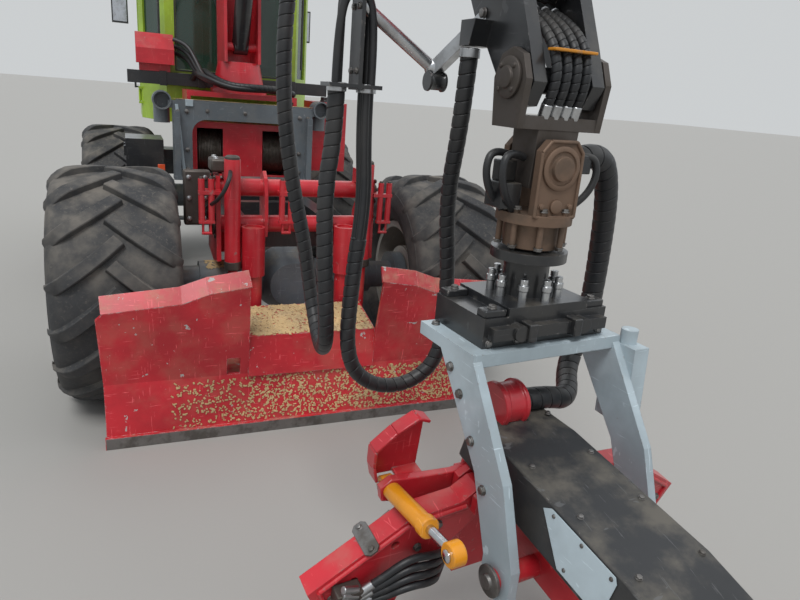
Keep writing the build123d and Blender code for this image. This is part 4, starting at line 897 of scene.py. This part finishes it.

# Hanger: bolts and the tilt pins' caps
hanger_bolts = Shape()
for outward in (-1, 1):
    out = tool_left * outward
    for r, z in ((0.06, 1.10), (0.12, 1.04), (0.20, 0.93), (0.28, 0.82)):
        hanger_bolts.bolt(tool(r, z, outward * 0.2802 if outward > 0 or z < 0.88 else -0.3412), out, 0.013)
    for w in (0.12, 0.22):
        hanger_bolts.bolt(tool(-0.09, 1.175, outward * (w + 0.03)), UP, 0.012)
    hanger_bolts.lathe(tool(0.380, 0.600, outward * 0.294), out, [(0, 0.045), (0.008, 0.045), (0.010, 0.04), (0.010, 0.022), (0.018, 0.02)], 28)
hanger_bolts.place("hanger_bolts", "rotor", "bare_steel", looks["bare_steel"])

# Head: the cover with its ridges, a blank plate, the hose collar and the tilt cylinder
hood_rows = [
    # s, low t, high t, left foot, left ridge, right ridge, right foot (w)
    (-0.395, 0.135, 0.20, 0.150, 0.135, -0.075, -0.095),
    (-0.355, 0.135, 0.262, 0.206, 0.184, -0.092, -0.120),
    (-0.20, 0.135, 0.276, 0.212, 0.190, -0.098, -0.130),
    (0.30, 0.135, 0.276, 0.212, 0.190, -0.098, -0.130),
    (0.66, 0.135, 0.226, 0.190, 0.170, -0.092, -0.122),
    (0.695, 0.135, 0.205, 0.165, 0.150, -0.080, -0.110),
]
shell = Shape()
shell.loops(
    [
        [head(at, low, left_foot), head(at, high, left_ridge), head(at, high, right_ridge), head(at, low, right_foot)]
        for at, low, high, left_foot, left_ridge, right_ridge, right_foot in hood_rows
    ]
)
shell.place("cover_shell", "head", "black_paint", cover_look, bevel=0.006, smooth=25, keep=["head_cover"])
sign = Shape()
sign_out = (head(0, 0.135, 0.212) - head(0, 0.276, 0.190)).cross(head_along)
sign_out = sign_out if sign_out.dot(tool_left) > 0 else -sign_out
sign_out = sign_out.normalized()
sign_points = [(0.045, 0.268), (0.275, 0.268), (0.285, 0.255), (0.285, 0.150), (0.13, 0.150), (0.02, 0.25)]
sign.plate(
    [head(at, t, 0.190 + (0.276 - t) * 0.156) + sign_out * 0.004 for at, t in sign_points],
    0.003,
    sign_out,
)
sign.place("blank_plate", "head", "pale_paint", looks["pale_paint"], bevel=0.0005)
screws = Shape()
for at, t in ((0.06, 0.256), (0.165, 0.258), (0.268, 0.256), (0.268, 0.165), (0.15, 0.165)):
    screws.lathe(head(at, t, 0.190 + (0.276 - t) * 0.156) + sign_out * 0.0055, sign_out, [(0, 0.006), (0.002, 0.005), (0.003, 0.002)], 12)
for at in (-0.3, -0.1, 0.1, 0.3, 0.5):
    for w in (0.15, -0.07):
        high = 0.276 if at < 0.31 else 0.276 - (at - 0.3) * 0.139
        screws.bolt(head(at, high, w), head_up, 0.008)
screws.place("cover_screws", "head", "bare_steel", looks["bare_steel"])
collar = Shape()
collar.lathe(
    head(-0.362, 0.300, 0.015),
    tool_left,
    [(0, 0.052), (0, 0.072), (0.014, 0.074), (0.018, 0.066), (0.072, 0.066), (0.076, 0.074), (0.094, 0.072), (0.094, 0.03)],
    36,
)
collar_piece = collar.place("hose_collar", "head", "red_paint", looks["red_paint"], bevel=0.003)
stand = Shape()
stand.plate([head(-0.41, t, w) for w, t in ((-0.02, 0.0), (0.14, 0.0), (0.13, 0.24), (0.09, 0.30), (0.03, 0.30), (-0.01, 0.24))], 0.014, head_along)
stand.place("collar_stand", "head", "red_paint", looks["red_paint"], bevel=0.003)
fixed_hose(
    "hose_tail",
    [
        crane(4.325, 1.690, -0.100),
        crane(4.325, 1.735, -0.205),
        crane(4.29, 1.62, -0.300),
        crane(4.20, 1.33, -0.400),
        crane(4.20, 1.12, -0.395),
        crane(4.20, 0.95, -0.330),
        head(-0.36, 0.265, -0.21),
        head(-0.362, 0.296, -0.10),
        head(-0.362, 0.300, 0.018),
    ],
    0.037,
    "rotor",
    hose_look,
    "hose_rubber",
    wrap=0.042,
)
tilt = Shape()
eye_near, eye_far = head(-0.352, 0.079, 0.452), head(0.010, 0.166, 0.452)
run = eye_far - eye_near
tilt.bar(eye_near + run * 0.07, eye_near + run * 0.66, 0.027, 28, 0.004)
for at in (eye_near, eye_far):
    tilt.lathe(at - tool_left * 0.02, tool_left, [(0, 0.03), (0.003, 0.033), (0.037, 0.033), (0.04, 0.03)], 28)
tilt.bar(eye_near + run * 0.6, eye_near + run * 0.68, 0.031, 28, 0.003)
tilt.place("tilt_cylinder", "head", "yellow", yellow_look)
piston = Shape()
piston.bar(eye_near + run * 0.66, eye_near + run * 0.94, 0.014, 20)
for at in (eye_near, eye_far):
    piston.lathe(at - tool_left * 0.027, tool_left, [(0, 0.014), (0.002, 0.017), (0.052, 0.017), (0.054, 0.014)], 20)
piston.place("tilt_piston", "head", "bright_steel", looks["bright_steel"])
wing = Shape()
wing_points = [(0.12, -0.03), (0.12, 0.115), (0.24, 0.10), (0.40, 0.115), (0.455, 0.125), (0.49, 0.10), (0.48, 0.05), (0.40, 0.03), (0.25, -0.02)]
wing.plate([head(-0.335, t, w) for w, t in wing_points], 0.026, head_along)
wing.plate([head(at, 0.1315, w) for at, w in ((-0.35, -0.165), (0.62, -0.165), (0.62, 0.20), (-0.35, 0.20))], 0.006, head_up)
flange_points = [(0.335, 0.09), (0.335, 0.285), (0.372, 0.300), (0.440, 0.262), (0.502, 0.208), (0.500, 0.150), (0.485, 0.095)]
wing.plate([head(-0.398, t, w) for w, t in flange_points], 0.012, head_along)
wing.plate([head(at, 0.100, w) for at, w in ((-0.404, 0.335), (-0.325, 0.335), (-0.325, 0.420), (-0.404, 0.420))], 0.012, head_up)
for (w0, t0), (w1, t1) in zip(flange_points[1:], flange_points[2:]):
    wing.plate([head(at, t, w) for at, t, w in ((-0.404, t0, w0), (-0.404, t1, w1), (-0.355, t1, w1), (-0.355, t0, w0))], 0.010, head_along.cross(head(0, t1, w1) - head(0, t0, w0)))
wing.place("head_wing", "head", "red_paint", looks["red_paint"], bevel=0.003)

# Arms: bolts, stiffening ribs and hoses on the head's front
for place_name, outward in (("left", 1), ("right", -1)):
    body = f"arm_{place_name}"
    detail = Shape()
    ridge = [(0.25, 0.062), (0.44, 0.046), (0.70, -0.12), (0.64, -0.27)]
    for (w0, t0), (w1, t1) in zip(ridge, ridge[1:]):
        for at in (-0.287, -0.213):
            detail.bar(head(at, t0, outward * w0), head(at, t1, outward * w1), 0.0075, 8)
    detail.place(f"arm_ribs_{place_name}", body, "red_paint", looks["red_paint"])
    detail = Shape()
    for at, direction in ((-0.286, -head_along), (-0.214, head_along)):
        for w, t in ((0.34, 0.02), (0.40, -0.05), (0.56, -0.30), (0.66, -0.16)):
            detail.bolt(head(at, t, outward * w), direction, 0.012)
    detail.place(f"arm_bolts_{place_name}", body, "bare_steel", looks["bare_steel"])
strap = Shape()
strap.plate([head(-0.2865, t, w) for w, t in ((0.47, 0.045), (0.50, 0.02), (0.60, -0.115), (0.575, -0.135), (0.54, -0.12), (0.44, 0.02))], 0.008, head_along)
slope = (head(0, -0.120, 0.735) - head(0, 0.066, 0.440)).normalized()
rise = head_along.cross(slope)
rise = rise if rise.dot(head_up) > 0 else -rise
seat = head(-0.25, 0.066, 0.440) + slope * 0.135 + rise * 0.004
strap_rows = [(-0.060, -0.012), (-0.048, -0.024), (0.044, -0.024), (0.056, -0.012), (0.056, 0.012), (0.044, 0.024), (-0.048, 0.024), (-0.060, 0.012)]
strap.plate([seat + head_along * a + slope * b for a, b in strap_rows], 0.007, rise)
for shift in (-0.046, 0.042):
    strap.bolt(seat + head_along * shift + rise * 0.003, rise, 0.009)
strap.place("arm_strap", "arm_left", "bare_steel", looks["bare_steel"], bevel=0.002)
block = Shape()
block.block(lambda at, w, t: head(at, t, w), (-0.2135, 0.585, -0.185), (-0.165, 0.665, -0.105))
block.place("arm_block", "arm_left", "cast_grey", looks["cast_grey"], bevel=0.004)
silver = Shape()
for number in range(4):
    low = 0.028 * number
    fixed_hose(
        f"hose_arm_{number + 1}",
        [
            head(-0.178, -0.118 - low * 0.6, 0.580),
            head(-0.172, -0.085 - low, 0.530),
            head(-0.165 + 0.008 * number, -0.030 - low, 0.455),
            head(-0.165 + 0.008 * number, -0.045 - low, 0.370),
            head(-0.195, -0.085 - low, 0.315),
            head(-0.225, -0.115 - low * 0.6, 0.285),
        ],
        0.0115,
        "arm_left",
        hose_look,
        "hose_rubber",
    )
    silver.bar(head(-0.178, -0.125 - low * 0.6, 0.592), head(-0.175, -0.100 - low * 0.9, 0.555), 0.0145, 12, 0.002)
    silver.bar(head(-0.178 + 0.004 * number, -0.107 - 0.02 * number, 0.600), head(-0.172, -0.085 - 0.02 * number, 0.650), 0.011, 12, 0.002)
silver.place("arm_fittings", "arm_left", "silver", silver_look)
silver = Shape()
for number in range(4):
    w = 0.20 + 0.055 * number
    route_points = [
        head(-0.362, -0.06 - 0.015 * number, 0.145),
        head(-0.43, -0.05 - 0.02 * number, w * 0.9),
        head(-0.45, -0.12 - 0.02 * number, w + 0.02),
        head(-0.42, -0.21 - 0.01 * number, w - 0.01),
        head(-0.38, -0.27, 0.172),
    ]
    fixed_hose(f"hose_head_{number + 1}", route_points, 0.012, "head", hose_look, "hose_rubber")
    silver.bar(head(-0.362, -0.06 - 0.015 * number, 0.165), head(-0.40, -0.055 - 0.018 * number, 0.175), 0.015, 12, 0.002)
silver.place("head_fittings", "head", "silver", silver_look)

# Black sleeve on the bar that carries the valves
sleeve = Shape()
sleeve.block(machine, (-0.8865, 2.2475, 1.7625), (0.8525, 2.3225, 1.8675))
for x in (-0.60, -0.28, 0.12, 0.52):
    sleeve.block(machine, (x - 0.03, 2.235, 1.755), (x + 0.03, 2.2475, 1.875))
sleeve.place("bar_sleeve", "root", "black_paint", looks["black_paint"], bevel=0.003)

# Hose guide: bright tube and strip, its roller, and the hoses that pass over it
guide_foot = crane(4.112, 2.088, 0.100)
guide_bend = crane(3.960, 1.925, 0.190)
guide_end = crane(3.950, 2.090, 0.446)
guide = Shape()
guide.bar(guide_bend, guide_end, 0.0195, 20, 0.002)
guide.lathe(guide_bend, guide_end - guide_bend, [(-0.012, 0.012), (0.0, 0.024), (0.02, 0.024), (0.026, 0.0195)], 20)
strip_side = (guide_foot - guide_bend).cross(UP).normalized() * 0.022
guide.plate(
    [guide_bend - strip_side, guide_bend + strip_side, guide_foot + strip_side, guide_foot - strip_side],
    0.039,
    (guide_foot - guide_bend).cross(strip_side),
)
guide.place("hose_guide", "extension", "silver", silver_look, bevel=0.002)
roller = Shape()
roller.lathe(
    guide_bend + crane_out * 0.012 - UP * 0.035 - crane_left * 0.03,
    crane_left,
    [(0, 0.02), (0, 0.03), (0.006, 0.031), (0.012, 0.026), (0.048, 0.026), (0.054, 0.031), (0.06, 0.03), (0.06, 0.02)],
    24,
)
roller.place("guide_roller", "extension", "black_paint", looks["black_paint"])
guide_bolts = Shape()
guide_bolts.bolt(guide_foot + crane_left * 0.022, crane_left, 0.014)
for r, z in ((3.915, 2.08), (3.96, 2.08), (3.915, 1.90), (3.96, 1.90)):
    guide_bolts.bolt(crane(r, z, 0.452), crane_left, 0.009)
guide_bolts.place("guide_bolts", "extension", "bare_steel", looks["bare_steel"])
for number, shift in enumerate((-0.018, 0.0, 0.018)):
    fixed_hose(
        f"hose_guide_{number + 1}",
        [
            machine(-0.305 + shift * 0.5, -1.955 + shift, 1.861),
            machine(-0.305 + shift * 0.5, -1.958 + shift, 2.00),
            machine(-0.295, -1.965 + shift, 2.12 + 0.01 * number),
            machine(-0.222, -1.965 + shift, 2.12 + 0.01 * number),
            machine(-0.210 - shift * 0.5, -1.958 + shift, 2.00),
            machine(-0.210 - shift * 0.5, -1.955 + shift, 1.861),
        ],
        0.0125,
        "extension",
        hose_look,
        "hose_rubber",
    )
ends = Shape()
for at, out in ((machine(0.053, -2.112, 1.962), UP), (machine(-0.305, -1.955, 1.838), UP), (machine(-0.210, -1.955, 1.838), UP)):
    ends.lathe(at, out, [(0, 0.0285), (0.0, 0.031), (0.024, 0.031), (0.026, 0.0285)], 26)
ends.place("bundle_ends", "extension", "silver", silver_look)

# Crane: pin caps, pipes along the boom and jib with their clamps, and seams on the jib
pivot = joint_at["main_boom_lift"]
knee = joint_at["jib_fold"]


def plane_point(at, w):
    """The same place in the crane's plane, at another side offset."""
    return at - crane_left * (at - column_foot).dot(crane_left) + crane_left * w


boom_run = plane_point(knee, 0) - plane_point(pivot, 0)
boom_along = boom_run.normalized()
boom_square = crane_left.cross(boom_along)
boom_square = boom_square if boom_square.z > 0 else -boom_square


def boom(s, t, w=0.0):
    """A point of the main boom: along it from its pivot, square to it and to its left."""
    return plane_point(pivot, 0) + boom_along * s + boom_square * t + crane_left * w


jib_along = joint_axis["jib_extend"]
jib_square = crane_left.cross(jib_along)
jib_square = jib_square if jib_square.dot(crane_out) < 0 else -jib_square


def jib(s, t, w=0.0):
    """A point of the jib: along it from the knuckle, square to it towards the machine and to its left."""
    return plane_point(knee, 0) + jib_along * s + jib_square * t + crane_left * w


def pin_caps(name, body, at, half, radius):
    """Caps with a ring of bolts on both ends of a cross pin."""
    shape = Shape()
    for outward in (-1, 1):
        face = plane_point(at, outward * half)
        direction = crane_left * outward
        shape.lathe(face, direction, [(-0.004, radius + 0.018), (0.007, radius + 0.018), (0.010, radius + 0.012), (0.010, radius - 0.01), (0.016, radius - 0.014)], 32)
        for number in range(4):
            turn = pi / 4 + number * pi / 2
            shape.bolt(face + (crane_out * cos(turn) + UP * sin(turn)) * (radius + 0.004) + direction * 0.009, direction, 0.007)
    shape.place(name, body, "cast_grey", looks["cast_grey"])


pin_caps("caps_pivot", "pillar", pivot, 0.165, 0.045)
pin_caps("caps_knee", "main_boom", knee, 0.155, 0.045)
pipes = Shape()
for number in range(3):
    t = -0.045 + 0.045 * number
    pipes.bar(boom(0.35, t, 0.1235), boom(2.25, t, 0.1235), 0.0115, 12)
pipes.place("boom_pipes", "main_boom", "cast_grey", looks["cast_grey"])
clamps = Shape()
for s_at in (0.5, 1.0, 1.5, 2.0):
    corner = [boom(s_at, -0.075, 0.124), boom(s_at + 0.045, -0.075, 0.124), boom(s_at + 0.045, 0.075, 0.124), boom(s_at, 0.075, 0.124)]
    clamps.plate(corner, 0.028, crane_left)
clamps.place("boom_clamps", "main_boom", "black_paint", looks["black_paint"], bevel=0.003)
pipes = Shape()
for number in range(3):
    t = -0.045 + 0.045 * number
    pipes.bar(jib(0.45, t, 0.1635), jib(1.80, t, 0.1635), 0.0115, 12)
pipes.place("jib_pipes", "jib", "cast_grey", looks["cast_grey"])
clamps = Shape()
for s_at in (0.6, 1.1, 1.6):
    corner = [jib(s_at, -0.075, 0.164), jib(s_at + 0.045, -0.075, 0.164), jib(s_at + 0.045, 0.075, 0.164), jib(s_at, 0.075, 0.164)]
    clamps.plate(corner, 0.028, crane_left)
clamps.place("jib_clamps", "jib", "black_paint", looks["black_paint"], bevel=0.003)
seams = Shape()
for s_at in (0.31, 3.36):
    for outward in (-1, 1):
        seams.plate([jib(s_at, -0.152, outward * 0.15), jib(s_at + 0.03, -0.152, outward * 0.15), jib(s_at + 0.03, 0.152, outward * 0.15), jib(s_at, 0.152, outward * 0.15)] if s_at < 1 else [jib(s_at - 0.16, -0.15, outward * 0.15), jib(s_at - 0.13, -0.15, outward * 0.15), jib(s_at - 0.13, 0.152, outward * 0.15), jib(s_at - 0.16, 0.152, outward * 0.15)], 0.008, crane_left)
seams.place("jib_seams", "jib", "red_paint", looks["red_paint"], bevel=0.002)

# Cab: lamps, mirrors, wiper, exhaust and rails
black = Shape()
lens = Shape()
for x in (-0.43, 0.43):
    for y, direction in ((2.285, -AHEAD), (3.615, AHEAD)):
        centre = machine(x, y, 3.0)
        black.lathe(centre - direction * 0.03, direction, [(0, 0.03), (0.0, 0.05), (0.045, 0.06), (0.06, 0.06)], 24)
        lens.lathe(centre + direction * 0.0302, direction, [(0, 0.052), (0.004, 0.05), (0.009, 0.03)], 24)
for x in (-0.25, 0.25):
    lens.lathe(machine(x, 4.704, 0.85), AHEAD, [(0, 0.049), (0.003, 0.046), (0.005, 0.03)], 24)
for outward in (-1, 1):
    arm_points = [machine(outward * 0.73, 3.52, 2.72), machine(outward * 0.86, 3.56, 2.70), machine(outward * 0.93, 3.56, 2.60)]
    for near, far in zip(arm_points, arm_points[1:]):
        black.bar(near, far, 0.011, 12)
    black.block(machine, tuple(sorted((outward * 0.85, outward * 1.0))[:1]) + (3.535, 2.30), tuple(sorted((outward * 0.85, outward * 1.0))[1:]) + (3.585, 2.62))
    black.bar(machine(outward * 0.62, 2.335, 1.98), machine(outward * 0.62, 2.335, 2.80), 0.009, 10)
black.bar(machine(0.10, 2.338, 1.93), machine(-0.22, 2.338, 2.62), 0.006, 8)
black.bar(machine(-0.30, 2.338, 2.45), machine(-0.14, 2.338, 2.80), 0.005, 8)
black.lathe(machine(0.10, 2.352, 1.93), -AHEAD, [(0, 0.02), (0.02, 0.02), (0.024, 0.012)], 16)
for x in (0.2, -0.2):
    black.bar(machine(x, 3.575, 1.98), machine(x - 0.22, 3.572, 2.62), 0.006, 8)
stack = [(0, 0.05), (0.02, 0.056), (0.55, 0.056), (0.57, 0.036), (0.98, 0.036), (0.98, 0.029), (0.7, 0.029)]
black.lathe(machine(0.62, 3.63, 1.55), UP, stack, 28)
black.block(machine, (0.58, 3.545, 1.70), (0.66, 3.60, 1.76))
black.block(machine, (0.585, 3.545, 2.02), (0.655, 3.60, 2.06))
black.place("cab_fittings", "root", "black_paint", looks["black_paint"], bevel=0.0015)
lens.place("lamp_glass", "root", "cab_glass", lamp_look)
handle = Shape()
handle.bar(machine(-0.812, 3.345, 1.70), machine(-0.812, 3.345, 1.86), 0.010, 12)
for z in (1.71, 1.85):
    handle.bar(machine(-0.814, 3.345, z), machine(-0.768, 3.345, z), 0.008, 12)
handle.block(machine, (-0.778, 3.325, 1.63), (-0.768, 3.365, 1.69))
handle.place("door_handle", "door", "black_paint", looks["black_paint"])
mirror = Shape()
for outward in (-1, 1):
    low, high = sorted((outward * 0.862, outward * 0.988))
    mirror.block(machine, (low, 3.532, 2.315), (high, 3.5352, 2.605))
mirror.place("mirror_faces", "root", "bright_steel", looks["bright_steel"])
louvres = Shape()
for outward in (-1, 1):
    for number in range(7):
        y = 3.72 + 0.055 * number
        louvres.plate(
            [
                machine(outward * 0.401, y, 1.46),
                machine(outward * 0.401, y + 0.03, 1.46),
                machine(outward * 0.401, y + 0.03, 1.72),
                machine(outward * 0.401, y, 1.72),
            ],
            0.008,
            RIGHT,
        )
    low, high = sorted((outward * 0.40, outward * 0.425))
    louvres.block(machine, (low, 4.35, 1.50), (high, 4.45, 1.52))
louvres.place("hood_louvres", "hood", "black_paint", looks["black_paint"], bevel=0.002)
boxes = Shape()
boxes.lathe(machine(0.775, 2.0, 1.7195), UP, [(0, 0.05), (0.012, 0.05), (0.014, 0.044), (0.04, 0.044), (0.044, 0.036)], 24)
for y in (1.80, 2.05):
    boxes.block(machine, (-0.940, y - 0.02, 1.20), (-0.924, y + 0.02, 1.28))
for z in (0.430, 0.760):
    for number in range(5):
        y = 1.90 + 0.055 * number
        boxes.block(machine, (-0.90, y, z + 0.030), (-0.705, y + 0.012, z + 0.036))
boxes.place("box_fittings", "root", "black_paint", looks["black_paint"], bevel=0.002)
seal = Shape()
for x0, x1, z0, z1 in ((-0.49, 0.49, 1.885, 1.899), (-0.49, 0.49, 2.881, 2.895)):
    seal.block(machine, (x0, 2.343, z0), (x1, 2.352, z1))
for x in (-0.494, 0.482):
    seal.block(machine, (x, 2.343, 1.885), (x + 0.012, 2.352, 2.895))
seal.place("window_seal", "root", "black_paint", looks["black_paint"], bevel=0.002)

# Floor, light and background
floor_data = bpy.data.meshes.new("floor")
floor_half = 120
floor_data.from_pydata(
    [(-floor_half, -floor_half, 0), (floor_half, -floor_half, 0), (floor_half, floor_half, 0), (-floor_half, floor_half, 0)],
    [],
    [(0, 1, 2, 3)],
)
floor = bpy.data.objects.new("floor", floor_data)
bpy.context.scene.collection.objects.link(floor)
floor_look = bpy.data.materials.new("floor_look")
floor_look.use_nodes = True
floor_look.node_tree.nodes["Principled BSDF"].inputs["Base Color"].default_value = (0.36, 0.35, 0.33, 1)
floor_look.node_tree.nodes["Principled BSDF"].inputs["Roughness"].default_value = 0.9
floor_data.materials.append(floor_look)

world = bpy.data.worlds.new("studio")
bpy.context.scene.world = world
world.use_nodes = True
air = world.node_tree
sky = air.nodes["Background"]
sky.inputs["Color"].default_value = (0.9, 0.95, 1.0, 1)
sky.inputs["Strength"].default_value = 0.62
plain = air.nodes.new("ShaderNodeBackground")
plain.inputs["Color"].default_value = (0.6, 0.62, 0.63, 1)
plain.inputs["Strength"].default_value = 1.0
seen = air.nodes.new("ShaderNodeLightPath")
either = air.nodes.new("ShaderNodeMixShader")
air.links.new(seen.outputs["Is Camera Ray"], either.inputs["Fac"])
air.links.new(sky.outputs["Background"], either.inputs[1])
air.links.new(plain.outputs["Background"], either.inputs[2])
air.links.new(either.outputs["Shader"], air.nodes["World Output"].inputs["Surface"])
for name, direction, strength, spread in (
    ("key", (-0.45, -0.6, 1.3), 1.7, 25),
    ("fill", (0.9, -0.2, 0.8), 0.35, 60),
    ("back", (0.2, 1.0, 0.9), 0.5, 60),
):
    lamp_data = bpy.data.lights.new(name, "SUN")
    lamp_data.energy = strength
    lamp_data.angle = radians(spread)
    lamp = bpy.data.objects.new(name, lamp_data)
    bpy.context.scene.collection.objects.link(lamp)
    lamp.rotation_mode = "QUATERNION"
    lamp.rotation_quaternion = Vector(direction).to_track_quat("Z", "Y")

bpy.context.scene.view_settings.view_transform = "Standard"
